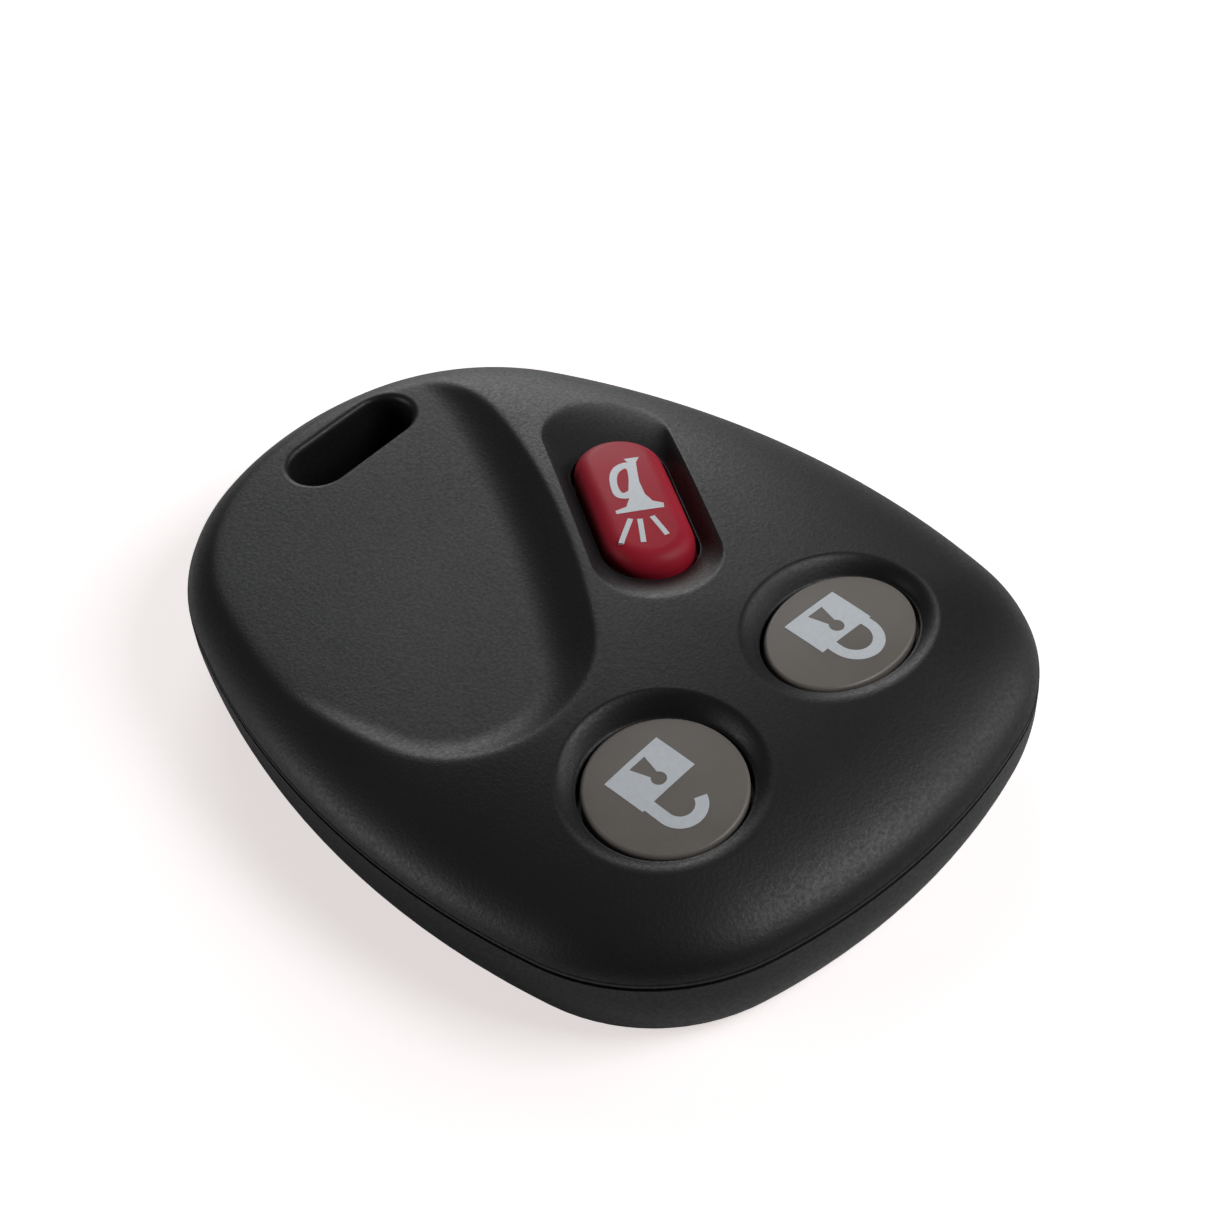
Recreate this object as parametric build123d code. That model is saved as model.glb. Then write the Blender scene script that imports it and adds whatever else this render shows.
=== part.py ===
from build123d import *
import math
import os

# Three-button remote key fob for a car.
# Millimetres. The fob lies flat on its back: origin at the bottom centre of its box, +Z up.
# +Y points to the narrow end with the key-ring slot, +X to the side with the lock button.

# Outside of the case, seen from above
TIP_Y = 29.0
FRONT_Y = -29.0
HALF_WIDTH = 22.5
WIDEST_Y = -5.8
SIDE_RADIUS = 59.2
TIP_RADIUS = 22.9
TIP_CORNER_RADIUS = 16.8
FRONT_RADIUS = 44.3
FRONT_CORNER_RADIUS = 13.5
DOME_CENTRE = (0.0, -4.0)

# A size larger than the fob, for shapes that only cut
SPAN = 90.0

# Case heights
PARTING_Z = 6.4
SEAM_GAP = 0.12
TOP_RISE = 5.8
DOME_FULLNESS = 1.93
SHOULDER_FULLNESS = 2.2
SHOULDER_INSET = 8.0
BASE_INSET = 2.8
WALL = 1.6
FLOOR = 1.3
ROOF_Z = 8.9
LOW_ROOF_Z = 8.2
LOW_ROOF_Y = 11.5
CAVITY_SHOULDER = 5.0
HOLLOW_SHOULDER = 2.4
LIP_INSET = 1.0
LIP_HEIGHT = 0.8
LIP_GAP = 0.15

# Thumb dish, a sloping floor inside a wall that curves up to a crisp edge
DISH_FLOOR_Z = 10.3
DISH_SLOPE_X = 0.030
DISH_SLOPE_Y = -0.045
DISH_LOW_CENTRE = (-10.1, 1.35)
DISH_LOW_RADIUS = 9.6
DISH_TIP_CENTRE = (-5.25, 25.2)
DISH_TIP_RADIUS = 17.4
DISH_SIDE_RADIUS = 121.0
DISH_WALL_WIDTH = 4.0
DISH_WALL_HEIGHT = 2.1

# Key-ring slot
SLOT_CENTRE = (1.3, 23.35)
SLOT_LENGTH = 10.3
SLOT_WIDTH = 4.3
SLOT_WALL = 1.3
SLOT_RIM = 0.45

# Buttons: places and heights of the middle of each cap, and how the case slopes there along X and Y
KINDS = ("lock", "unlock", "panic")
CAP_AT = {"lock": (8.26, -15.32), "unlock": (-8.51, -15.75), "panic": (8.01, 2.49)}
CAP_TOP_Z = {"lock": 10.83, "unlock": 10.74, "panic": 12.0}
CAP_SLOPES = {"lock": (-0.08, 0.06), "unlock": (0.08, 0.06), "panic": (-0.12, -0.02)}
CAP_ABOVE_RIM = {"lock": -0.3, "unlock": -0.3, "panic": 0.4}
CAP_EDGE_RADIUS = {"lock": 0.25, "unlock": 0.25, "panic": 1.3}
CAP_TURN = {"lock": 5.0, "unlock": 0.0, "panic": -31.5}
CAP_CROWN_RADIUS = 60.0
CROWN_REACH = 10.0
CAP_GAP = 0.2
LOCK_RADII = (5.7, 4.3)
UNLOCK_RADIUS = 5.2
PANIC_LENGTH = 13.9
PANIC_WIDTH = 6.05
FLANGE_WIDTH = 0.55
FLANGE_BOTTOM_Z = 8.4
FLANGE_TOP_Z = 8.8
FLANGE_ROOM = 0.1

# Seats round the caps
SEAT_FLAT = 0.12
SEAT_WIDTH = 1.1
SEAT_DEPTH = 0.65
RECESS_LENGTH = 22.4
RECESS_WIDTH = 8.8
RECESS_SHIFT = 0.78
RECESS_DEPTH = 1.15
SEAT_OVERSHOOT = 1.6

# Printed marks on the caps
MARK_DEPTH = 0.25
MARK_PROUD = 0.02
PADLOCK_SIZE = (4.65, 3.2)
PADLOCK_SHIFT = {"lock": (-0.07, 1.0), "unlock": (-0.07, 1.2)}
KEYHOLE_AT = (0.12, -0.66)
KEYHOLE_RADIUS = 0.5
KEYHOLE_FLARE = [(-0.25, 0.3), (0.25, 0.3), (0.62, 1.8), (-0.72, 1.8)]
SHACKLE_AT = {"lock": (0.17, -2.05), "unlock": (-0.41, -2.9)}
SHACKLE_OUTER = {"lock": 2.0, "unlock": 1.76}
SHACKLE_WIDTH = {"lock": 0.8, "unlock": 0.84}
SHACKLE_END = {"lock": 360, "unlock": 336}
SHACKLE_LEGS = {"lock": (-1, 1), "unlock": (-1,)}
SHACKLE_OVERLAP = 0.3
HORN_TUBE = [
    (0.38, 4.4), (0.55, 3.85), (0.16, 2.2), (-0.2, 0.9), (-0.42, -0.1), (-0.8, -0.85), (-1.6, -1.1),
    (-1.62, -1.42), (1.62, -1.42), (1.7, -0.98), (1.05, -0.62), (0.74, 0.2), (0.72, 1.6), (0.88, 2.7),
    (1.08, 3.85), (1.42, 4.4),
]
COIL_OUTSIDE = [(0.2, 3.95), (-0.55, 3.55), (-1.12, 2.4), (-1.29, 1.2), (-1.1, 0.25), (-0.65, 0), (0.3, 1.9)]
COIL_INSIDE = [(0.05, 3.25), (-0.42, 2.8), (-0.7, 2), (-0.78, 1.15), (-0.6, 0.62), (-0.3, 0.75), (0.1, 2)]
HORN_SHIFT = -0.5
RAY_WIDTH = 0.36
RAYS = [((-0.85, -2.1), (-2.05, -4.25)), ((-0.25, -2.25), (-0.6, -4.5)), ((0.6, -2.15), (1.1, -4.1))]

# Rubber keypad under the caps
KEYPAD_BOTTOM_Z = 8.0
KEYPAD_TOP_Z = 8.4
KEYPAD_BRIDGE_WIDTH = 9.0
NUB_RADIUS = 1.4
NUB_BOTTOM_Z = 7.77
GUIDE_GAP = 0.3
GUIDE_THICKNESS = 0.7

# Circuit board and what is soldered to it
BOARD_BOTTOM_Z = 5.3
BOARD_THICKNESS = 0.8
BOARD_INSET = 2.1
BOARD_TIP_Y = 17.4
BOARD_TOP_Z = BOARD_BOTTOM_Z + BOARD_THICKNESS
TRACK_INSET = 0.6
TRACK_WIDTH = 1.0
TRACK_THICKNESS = 0.1
FEED_X = 2.0
FEED_GAP = 2.5
SWITCH_SIZE = 4.6
SWITCH_BASE_HEIGHT = 0.5
SWITCH_PLATE = 0.15
SWITCH_WALL = 0.2
SWITCH_TRAVEL = 0.25
SWITCH_FRAME_TOP_Z = 7.2
PLUNGER_RADIUS = 1.0
PLUNGER_TOP_Z = 7.5
PLUNGER_COLLAR = 1.35
PLUNGER_GAP = 0.05
COLLAR_GAP = 0.02
CONTROLLER_AT = (-7.6, 0.5)
CONTROLLER_SIZE = (5.2, 10.0, 1.5)
TRANSMITTER_AT = (-8.6, 11.8)
TRANSMITTER_SIZE = (3.9, 4.8, 1.2)
LEAD_PITCH = 1.1
LEAD_THICKNESS = 0.15
LEAD_REACH = 0.8
RESONATOR_AT = (1.5, 12.6)
RESONATOR_RADIUS = 2.2
RESONATOR_HEIGHT = 1.6
CRYSTAL_AT = (-13.6, 2.0)
CRYSTAL_SIZE = (2.2, 4.6, 1.1)
COIL_AT = (-2.6, 13.0)
COIL_SIZE = 3.0
COIL_HEIGHT = 1.8
RESISTOR_SIZE = (1.6, 0.8, 0.45)
RESISTOR_PLACES = [(-1.6, -9.5), (-1.6, -11.3), (2.0, -9.5), (13.6, -2.0), (13.6, -4.0), (-15.8, -2.5)]
CAPACITOR_SIZE = (1.6, 0.8, 0.8)
CAPACITOR_PLACES = [(-1.6, -13.1), (2.2, -11.6), (13.8, 0.2), (-15.8, -4.5), (5.6, 12.4), (-2.4, 6.2)]

# Coin cell, 20 mm by 3.2 mm, and its contacts
CELL_AT = (-1.0, -2.5)
CELL_RADIUS = 10.0
CELL_HEIGHT = 3.2
CELL_BOTTOM_Z = 1.65
CELL_TOP_Z = CELL_BOTTOM_Z + CELL_HEIGHT
CELL_STEP = 0.25
CAN_WALL = 0.3
SEAL_GAP = 0.02
CELL_CAP_RADIUS = 8.7
CLIP_THICKNESS = 0.2
CLIP_WIDTH = 6.0
CLIP_ROOM = 0.35
CLIP_FOOT = 2.0
PLATE_LENGTH = 9.0
PLATE_WIDTH = 7.0
DIMPLE_RADIUS = 1.6

# Posts inside the case
POST_RADIUS = 1.5
POST_GAP = 0.05
NEST_GAP = 0.8
NEST_THICKNESS = 0.7
NEST_TOP_Z = 2.5
POST_PLACES = [(-16.0, -8.0), (16.0, -8.0), (-13.5, 10.5), (16.0, 8.5)]


def place(shape, at, z=0.0, turn=0.0):
    return Pos(at[0], at[1], z) * Rot(0, 0, turn) * shape


def circle_meeting(first, first_reach, second, second_reach, side=1.0):
    """The point at given distances from two centres, to the right of the way between them."""
    run = (second[0] - first[0], second[1] - first[1])
    gap = math.hypot(*run)
    along = (first_reach**2 - second_reach**2 + gap**2) / (2 * gap)
    across = side * math.sqrt(first_reach**2 - along**2)
    ux, uy = run[0] / gap, run[1] / gap
    return (first[0] + along * ux + across * uy, first[1] + along * uy - across * ux)


def bearing(start, end):
    return math.degrees(math.atan2(end[1] - start[1], end[0] - start[0]))


def case_arcs():
    """Tangent arcs round the case, anticlockwise from a front corner: centre, radius, start and end angle."""
    tip = (0.0, TIP_Y - TIP_RADIUS)
    front = (0.0, FRONT_Y + FRONT_RADIUS)
    side = (HALF_WIDTH - SIDE_RADIUS, WIDEST_Y)
    low, high = FRONT_CORNER_RADIUS, TIP_CORNER_RADIUS
    low_corner = circle_meeting(front, FRONT_RADIUS - low, side, SIDE_RADIUS - low, -1.0)
    high_corner = circle_meeting(side, SIDE_RADIUS - high, tip, TIP_RADIUS - high, -1.0)
    first, second = bearing(front, low_corner), bearing(side, low_corner)
    third, fourth = bearing(side, high_corner), bearing(tip, high_corner)
    arcs = [(low_corner, low, first, second), (side, SIDE_RADIUS, second, third)]
    arcs.append((high_corner, high, third, fourth))
    arcs.append((tip, TIP_RADIUS, fourth, 180 - fourth))
    for (x, y), radius, start, end in arcs[2::-1]:
        arcs.append(((-x, y), radius, 180 - end, 180 - start))
    arcs.append((front, FRONT_RADIUS, 180 - first, 360 + first))
    return arcs


def arc_wire(arcs, inset=0.0, z=0.0, scale=1.0, about=(0.0, 0.0)):
    """A closed wire of tangent arcs, drawn in by inset, then scaled about a point."""

    def point(centre, radius, angle):
        a = math.radians(angle)
        x = centre[0] + (radius - inset) * math.cos(a)
        y = centre[1] + (radius - inset) * math.sin(a)
        return (about[0] + (x - about[0]) * scale, about[1] + (y - about[1]) * scale, z)

    edges = []
    for centre, radius, start, end in arcs:
        middle = (start + end) / 2
        ends = [point(centre, radius, angle) for angle in (start, middle, end)]
        edges.append(Edge.make_three_point_arc(*ends))
    return Wire(edges)


def case_wire(inset, z, scale=1.0):
    return arc_wire(case_arcs(), inset, z, scale, DOME_CENTRE)


def case_prism(inset, low, high):
    return extrude(Face(case_wire(inset, low)), high - low)


def dome_height(depth):
    """Height of the dome above the parting plane, at this depth in from the widest part of the rim."""
    share = 1 - depth / HALF_WIDTH
    return TOP_RISE * (1 - share**DOME_FULLNESS) ** (1 / SHOULDER_FULLNESS)


def top_dome():
    """Outside of the top cover: drawn-in outlines up the shoulder, then smaller ones over the crown."""
    depths = [0.0, 0.12, 0.45, 1.0, 1.8, 2.8, 4.0, 5.2, 6.6, SHOULDER_INSET]
    wires = [case_wire(depth, PARTING_Z + dome_height(depth)) for depth in depths]
    for tenths in range(9, 0, -1):
        scale = tenths / 10
        depth = SHOULDER_INSET + (HALF_WIDTH - SHOULDER_INSET) * (1 - scale)
        wires.append(case_wire(SHOULDER_INSET, PARTING_Z + dome_height(depth), scale))
    dome = Solid.make_loft(wires)
    return dome - Pos(0, 0, PARTING_Z) * Box(SPAN, SPAN, SEAM_GAP)


def quarter_sections(inset, draw_in, start_z, rise, steps):
    """Outlines on a quarter ellipse, from the parting plane up or down to a flat."""
    wires = []
    for step in range(steps + 1):
        angle = math.radians(90 * step / steps)
        depth = inset + draw_in * (1 - math.cos(angle))
        wires.append(case_wire(depth, start_z + rise * math.sin(angle)))
    return wires


def bottom_shape():
    return Solid.make_loft(quarter_sections(0.0, BASE_INSET, PARTING_Z, -PARTING_Z, 6))


def stadium(length, width):
    """An oblong with round ends, its long way along Y."""
    return Rot(0, 0, 90) * SlotOverall(length, width)


def slot_prism(grow, low, high):
    outline = SlotOverall(SLOT_LENGTH + 2 * grow, SLOT_WIDTH + 2 * grow)
    return place(extrude(outline, high - low), SLOT_CENTRE, low)


def slot_rim():
    """Rounds the upper mouth of the slot."""
    mouth = DISH_FLOOR_Z + DISH_SLOPE_X * SLOT_CENTRE[0] + DISH_SLOPE_Y * SLOT_CENTRE[1]
    low = SlotOverall(SLOT_LENGTH, SLOT_WIDTH)
    high = SlotOverall(SLOT_LENGTH + 4 * SLOT_RIM, SLOT_WIDTH + 4 * SLOT_RIM)
    sections = [place(low, SLOT_CENTRE, mouth - SLOT_RIM), place(high, SLOT_CENTRE, mouth + SLOT_RIM)]
    return loft(sections, ruled=True)


def dish_arcs():
    """Plan of the dish at the top of its wall: two round ends joined by two long arcs."""
    low, tip = DISH_LOW_CENTRE, DISH_TIP_CENTRE
    reach = (DISH_SIDE_RADIUS - DISH_LOW_RADIUS, DISH_SIDE_RADIUS - DISH_TIP_RADIUS)
    right = circle_meeting(low, reach[0], tip, reach[1], -1.0)
    left = circle_meeting(low, reach[0], tip, reach[1], 1.0)
    right_low, right_tip = bearing(right, low), bearing(right, tip)
    left_tip, left_low = bearing(left, tip) % 360, bearing(left, low) % 360
    return [
        (low, DISH_LOW_RADIUS, left_low, right_low + 360),
        (right, DISH_SIDE_RADIUS, right_low, right_tip),
        (tip, DISH_TIP_RADIUS, right_tip, left_tip),
        (left, DISH_SIDE_RADIUS, left_tip, left_low),
    ]


def dish_cutter():
    """Takes the thumb dish out of the dome: a tilted floor, its wall rising with the square of the way."""
    wires = []
    for step in range(7):
        share = step / 6
        inset = DISH_WALL_WIDTH * (1 - share)
        wires.append(arc_wire(dish_arcs(), inset, DISH_WALL_HEIGHT * share**2))
    cutter = Solid.make_loft(wires)
    tilt_x = math.degrees(math.atan(DISH_SLOPE_Y))
    tilt_y = -math.degrees(math.atan(DISH_SLOPE_X))
    return Pos(0, 0, DISH_FLOOR_Z) * Rot(tilt_x, tilt_y, 0) * cutter


def cap_outline(kind, margin):
    """The plan of a cap: an oval, a circle or an oblong, grown by a margin."""
    if kind == "lock":
        flat = Ellipse(LOCK_RADII[0] + margin, LOCK_RADII[1] + margin)
    elif kind == "unlock":
        flat = Circle(UNLOCK_RADIUS + margin)
    else:
        flat = stadium(PANIC_LENGTH + 2 * margin, PANIC_WIDTH + 2 * margin)
    return Rot(0, 0, CAP_TURN[kind]) * flat


def cap_prism(kind, margin, low, high):
    return place(extrude(cap_outline(kind, margin), high - low), CAP_AT[kind], low)


def button_prisms(margin, low, high):
    return [cap_prism(kind, margin, low, high) for kind in KINDS]


def leaning(shape, kind):
    """Leans the upper side of a cap or seat as the case slopes there."""
    slope_x, slope_y = CAP_SLOPES[kind]
    return Rot(math.degrees(math.atan(slope_y)), -math.degrees(math.atan(slope_x)), 0) * shape


def seat_outline(kind, share):
    """The plan of a seat at this share of the way from its foot to its rim."""
    if kind != "panic":
        return cap_outline(kind, CAP_GAP + SEAT_FLAT + (SEAT_WIDTH - SEAT_FLAT) * share)
    foot_length = PANIC_LENGTH + 2 * (CAP_GAP + SEAT_FLAT)
    foot_width = PANIC_WIDTH + 2 * (CAP_GAP + SEAT_FLAT)
    length = foot_length + (RECESS_LENGTH - foot_length) * share
    width = foot_width + (RECESS_WIDTH - foot_width) * share
    return Rot(0, 0, CAP_TURN[kind]) * Pos(0, RECESS_SHIFT * share) * stadium(length, width)


def seat_cutter(kind):
    """The hollow round a cap: its wall leans out from the foot to the rim and on past it."""
    depth = RECESS_DEPTH if kind == "panic" else SEAT_DEPTH
    foot = Pos(0, 0, -depth) * seat_outline(kind, 0)
    top = Pos(0, 0, depth * (SEAT_OVERSHOOT - 1)) * seat_outline(kind, SEAT_OVERSHOOT)
    rim_z = CAP_TOP_Z[kind] - CAP_ABOVE_RIM[kind]
    return place(leaning(loft([foot, top], ruled=True), kind), CAP_AT[kind], rim_z)


def round_prism(at, radius, low, high):
    return Pos(at[0], at[1], low) * extrude(Circle(radius), high - low)


def top_cavity():
    sections = quarter_sections(WALL, CAVITY_SHOULDER, PARTING_Z - 0.2, ROOF_Z - PARTING_Z + 0.2, 5)
    return Solid.make_loft(sections) - Pos(0, LOW_ROOF_Y + SPAN / 2, LOW_ROOF_Z + 5) * Box(SPAN, SPAN, 10)


def top_cover():
    """The upper half, with its dish, seats, guide rings for the caps and posts that hold the board down."""
    outside = top_dome()
    rebate = case_prism(LIP_INSET - LIP_GAP, PARTING_Z - 1, PARTING_Z + LIP_HEIGHT + LIP_GAP)
    cover = outside - top_cavity() - rebate
    guide = FLANGE_WIDTH + GUIDE_GAP
    for pad in button_prisms(guide + GUIDE_THICKNESS, FLANGE_BOTTOM_Z, ROOF_Z + 0.3):
        cover += pad
    tube = slot_prism(SLOT_WALL, PARTING_Z + SEAM_GAP / 2, ROOF_Z + 1) & outside
    cover += tube
    for at in POST_PLACES:
        cover += round_prism(at, POST_RADIUS, BOARD_TOP_Z + POST_GAP, ROOF_Z + 0.2)
    cover -= dish_cutter()
    for kind in KINDS:
        cover -= seat_cutter(kind)
    for hole in button_prisms(CAP_GAP, ROOF_Z - 1, 14):
        cover -= hole
    for pocket in button_prisms(guide, FLANGE_BOTTOM_Z - 1, FLANGE_TOP_Z + FLANGE_ROOM):
        cover -= pocket
    cover -= slot_prism(0, 0, 14)
    cover -= slot_rim()
    return cover


def bottom_cover():
    """The lower tray, with a lip that centres the top cover and a ring that centres the coin cell."""
    rim_z = PARTING_Z - SEAM_GAP / 2
    lip_z = PARTING_Z + LIP_HEIGHT
    outside = bottom_shape() & Pos(0, 0, rim_z / 2) * Box(SPAN, SPAN, rim_z)
    hollow = Solid.make_loft(quarter_sections(WALL, HOLLOW_SHOULDER, lip_z, FLOOR - lip_z, 5))
    lip = case_prism(LIP_INSET, PARTING_Z - 1.0, lip_z) - slot_prism(SLOT_WALL + LIP_GAP, rim_z, lip_z + 1)
    cover = outside + lip - hollow
    cover += slot_prism(SLOT_WALL, FLOOR / 4, rim_z) & outside
    for at in POST_PLACES:
        cover += round_prism(at, POST_RADIUS, FLOOR / 2, BOARD_BOTTOM_Z)
    inner = CELL_RADIUS + NEST_GAP
    nest = round_prism(CELL_AT, inner + NEST_THICKNESS, FLOOR - 0.2, NEST_TOP_Z)
    nest -= round_prism(CELL_AT, inner, 0, NEST_TOP_Z)
    nest -= place(Box(SPAN, CLIP_WIDTH + 1.0, NEST_TOP_Z * 3), CELL_AT)
    cover += nest
    return cover - slot_prism(0, -1, lip_z + 1)


def crown_cutter(kind, lift):
    """Everything above the gently crowned, leaning top of a cap, raised by lift."""
    ball = Pos(0, 0, -CAP_CROWN_RADIUS) * Sphere(CAP_CROWN_RADIUS)
    above = Box(2 * CROWN_REACH, 2 * CROWN_REACH, CROWN_REACH) - ball
    return place(leaning(above, kind), CAP_AT[kind], CAP_TOP_Z[kind] + lift)


def button_cap(kind):
    """A cap with a crowned top, a rounded edge and a flange that keeps it in the case."""
    cap = cap_prism(kind, 0, FLANGE_BOTTOM_Z, CAP_TOP_Z[kind] + 2) - crown_cutter(kind, 0)
    crown = cap.faces().sort_by(Axis.Z)[-1]
    cap = fillet(crown.edges(), CAP_EDGE_RADIUS[kind])
    return cap + cap_prism(kind, FLANGE_WIDTH, FLANGE_BOTTOM_Z, FLANGE_TOP_Z)


def ring_sector(outer, inner, start, end):
    """Part of a flat ring, between two bearings in degrees."""
    wedge = [(0, 0)]
    for step in range(7):
        angle = math.radians(start + (end - start) * step / 6)
        wedge.append((2 * outer * math.cos(angle), 2 * outer * math.sin(angle)))
    return (Circle(outer) - Circle(inner)) & Polygon(wedge, align=None)


def keyhole():
    return Circle(KEYHOLE_RADIUS) + Polygon(KEYHOLE_FLARE, align=None)


def padlock_mark(kind):
    """A padlock, its shackle towards the wide end of the fob: a closed bow, or an open hook for unlock."""
    outer = SHACKLE_OUTER[kind]
    width = SHACKLE_WIDTH[kind]
    x, y = SHACKLE_AT[kind]
    mark = Rectangle(*PADLOCK_SIZE) - Pos(*KEYHOLE_AT) * keyhole()
    mark += Pos(x, y) * ring_sector(outer, outer - width, 180, SHACKLE_END[kind])
    edge = SHACKLE_OVERLAP - PADLOCK_SIZE[1] / 2
    for side in SHACKLE_LEGS[kind]:
        mark += Pos(x + side * (outer - width / 2), (y + edge) / 2) * Rectangle(width, edge - y)
    return Pos(*PADLOCK_SHIFT[kind]) * mark


def horn_mark():
    """A coiled horn with three rays of sound, its bell towards the wide end of the fob."""
    coil = make_face(Spline(*COIL_OUTSIDE, periodic=True)) - make_face(Spline(*COIL_INSIDE, periodic=True))
    mark = Polygon(HORN_TUBE, align=None) + coil
    for foot, head in RAYS:
        middle = ((foot[0] + head[0]) / 2, (foot[1] + head[1]) / 2)
        length = math.hypot(head[0] - foot[0], head[1] - foot[1])
        mark += Pos(*middle) * Rot(0, 0, bearing(foot, head)) * Rectangle(length, RAY_WIDTH)
    return mark


def symbol(kind):
    """The pale mark let into a cap, a little proud of its crown."""
    if kind == "panic":
        flat = Rot(0, 0, CAP_TURN[kind]) * Pos(0, HORN_SHIFT) * horn_mark()
    else:
        flat = padlock_mark(kind)
    prism = place(extrude(flat, 6), CAP_AT[kind], CAP_TOP_Z[kind] - 3)
    return (prism - crown_cutter(kind, MARK_PROUD)) & crown_cutter(kind, -MARK_DEPTH)


def silicone_keypad():
    """A rubber sheet under the caps, with a nub over each switch."""
    low, high = KEYPAD_BOTTOM_Z, KEYPAD_TOP_Z
    lock, unlock = CAP_AT["lock"], CAP_AT["unlock"]
    corners = [unlock, lock, CAP_AT["panic"]]
    pad = Pos(0, 0, low) * extrude(Polygon(corners, align=None), high - low)
    for shape in button_prisms(FLANGE_WIDTH + GUIDE_GAP + GUIDE_THICKNESS, low, high):
        pad += shape
    middle = ((unlock[0] + lock[0]) / 2, (unlock[1] + lock[1]) / 2)
    pad += block(middle, (lock[0] - unlock[0], KEYPAD_BRIDGE_WIDTH, high - low), low)
    for kind in KINDS:
        pad += round_prism(CAP_AT[kind], NUB_RADIUS, NUB_BOTTOM_Z, low)
    return pad


def board_prism(inset, low, high):
    """The outline of the board, drawn in by inset: that of the case, cut straight before the slot."""
    cut = Pos(0, BOARD_TIP_Y - inset + SPAN / 2, high) * Box(SPAN, SPAN, SPAN)
    return case_prism(BOARD_INSET + inset, low, high) - cut


def circuit_board():
    return board_prism(0, BOARD_BOTTOM_Z, BOARD_TOP_Z)


def antenna_loop():
    """A copper loop along the edge of the board, open at its feed."""
    low, high = BOARD_TOP_Z, BOARD_TOP_Z + TRACK_THICKNESS
    outer = board_prism(TRACK_INSET, low, high)
    ring = outer - board_prism(TRACK_INSET + TRACK_WIDTH, low - 1, high + 1)
    ring -= block((FEED_X, BOARD_TIP_Y), (FEED_GAP, 6, 1), low - 0.5)
    for at in POST_PLACES:
        ring -= round_prism(at, POST_RADIUS + GUIDE_GAP, low - 1, high + 1)
    return ring


def block(at, size, low, turn=0.0):
    return place(Pos(0, 0, size[2] / 2) * Box(*size), at, low, turn)


def switch_bases():
    size = (SWITCH_SIZE, SWITCH_SIZE, SWITCH_BASE_HEIGHT)
    return Compound([block(CAP_AT[kind], size, BOARD_TOP_Z) for kind in KINDS])


def switch_frames():
    """Metal covers that hold the plungers on the switch bases."""
    frames = []
    low = BOARD_TOP_Z + SWITCH_BASE_HEIGHT
    height = SWITCH_FRAME_TOP_Z - low
    room = SWITCH_SIZE - 2 * SWITCH_WALL
    for kind in KINDS:
        at = CAP_AT[kind]
        frame = block(at, (SWITCH_SIZE, SWITCH_SIZE, height), low)
        frame -= block(at, (room, room, height - SWITCH_PLATE), low)
        frame -= round_prism(at, PLUNGER_RADIUS + PLUNGER_GAP, low, low + height)
        frames.append(frame)
    return Compound(frames)


def switch_plunger(kind):
    at = CAP_AT[kind]
    collar_low = BOARD_TOP_Z + SWITCH_BASE_HEIGHT + SWITCH_TRAVEL + COLLAR_GAP
    collar_high = SWITCH_FRAME_TOP_Z - SWITCH_PLATE - COLLAR_GAP
    stem = round_prism(at, PLUNGER_RADIUS, collar_low, PLUNGER_TOP_Z)
    return stem + round_prism(at, PLUNGER_COLLAR, collar_low, collar_high)


def chip(at, size, leads):
    """A moulded chip with a row of gull-wing leads down each long side."""
    width = LEAD_PITCH * 0.4
    shape = block(at, size, BOARD_TOP_Z + 0.1)
    shape = chamfer(shape.edges().group_by(Axis.Z)[-1], LEAD_THICKNESS)
    for row in range(leads):
        y = at[1] + (row - (leads - 1) / 2) * LEAD_PITCH
        for side in (-1, 1):
            foot = (at[0] + side * (size[0] + LEAD_REACH) / 2, y)
            shoulder = (at[0] + side * size[0] / 2, y)
            shape += block(foot, (LEAD_REACH, width, LEAD_THICKNESS), BOARD_TOP_Z)
            shape += block(shoulder, (2 * LEAD_THICKNESS, width, size[2] / 3), BOARD_TOP_Z)
    return shape


def resonator_can():
    low, high = BOARD_TOP_Z, BOARD_TOP_Z + RESONATOR_HEIGHT
    can = round_prism(RESONATOR_AT, RESONATOR_RADIUS, low, high)
    can = fillet(can.edges().group_by(Axis.Z)[-1], 0.3)
    return can + round_prism(RESONATOR_AT, RESONATOR_RADIUS + 0.3, low, low + 0.3)


def timing_crystal():
    can = block(CRYSTAL_AT, CRYSTAL_SIZE, BOARD_TOP_Z)
    return fillet(can.edges().filter_by(Axis.Z), 0.5)


def tuning_coil():
    """A bobbin on a square foot."""
    low, high = BOARD_TOP_Z, BOARD_TOP_Z + COIL_HEIGHT
    coil = block(COIL_AT, (COIL_SIZE, COIL_SIZE, 0.4), low)
    coil += round_prism(COIL_AT, COIL_SIZE * 0.4, low, high)
    return coil + round_prism(COIL_AT, COIL_SIZE / 2, high - 0.3, high)


def chip_row(places, size):
    return Compound([block(at, size, BOARD_TOP_Z) for at in places])


def battery_can():
    can = round_prism(CELL_AT, CELL_RADIUS, CELL_BOTTOM_Z, CELL_TOP_Z - CELL_STEP)
    can = fillet(can.edges().group_by(Axis.Z)[0], CELL_STEP)
    return can - round_prism(CELL_AT, CELL_RADIUS - CAN_WALL, CELL_BOTTOM_Z + CAN_WALL, CELL_TOP_Z)


def battery_gasket():
    """The sealing ring between the can and the cap of the cell."""
    ring = round_prism(CELL_AT, CELL_RADIUS - CAN_WALL - SEAL_GAP, CELL_BOTTOM_Z + CAN_WALL, CELL_TOP_Z - 0.3)
    return ring - round_prism(CELL_AT, CELL_CAP_RADIUS + SEAL_GAP, CELL_BOTTOM_Z, CELL_TOP_Z)


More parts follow.
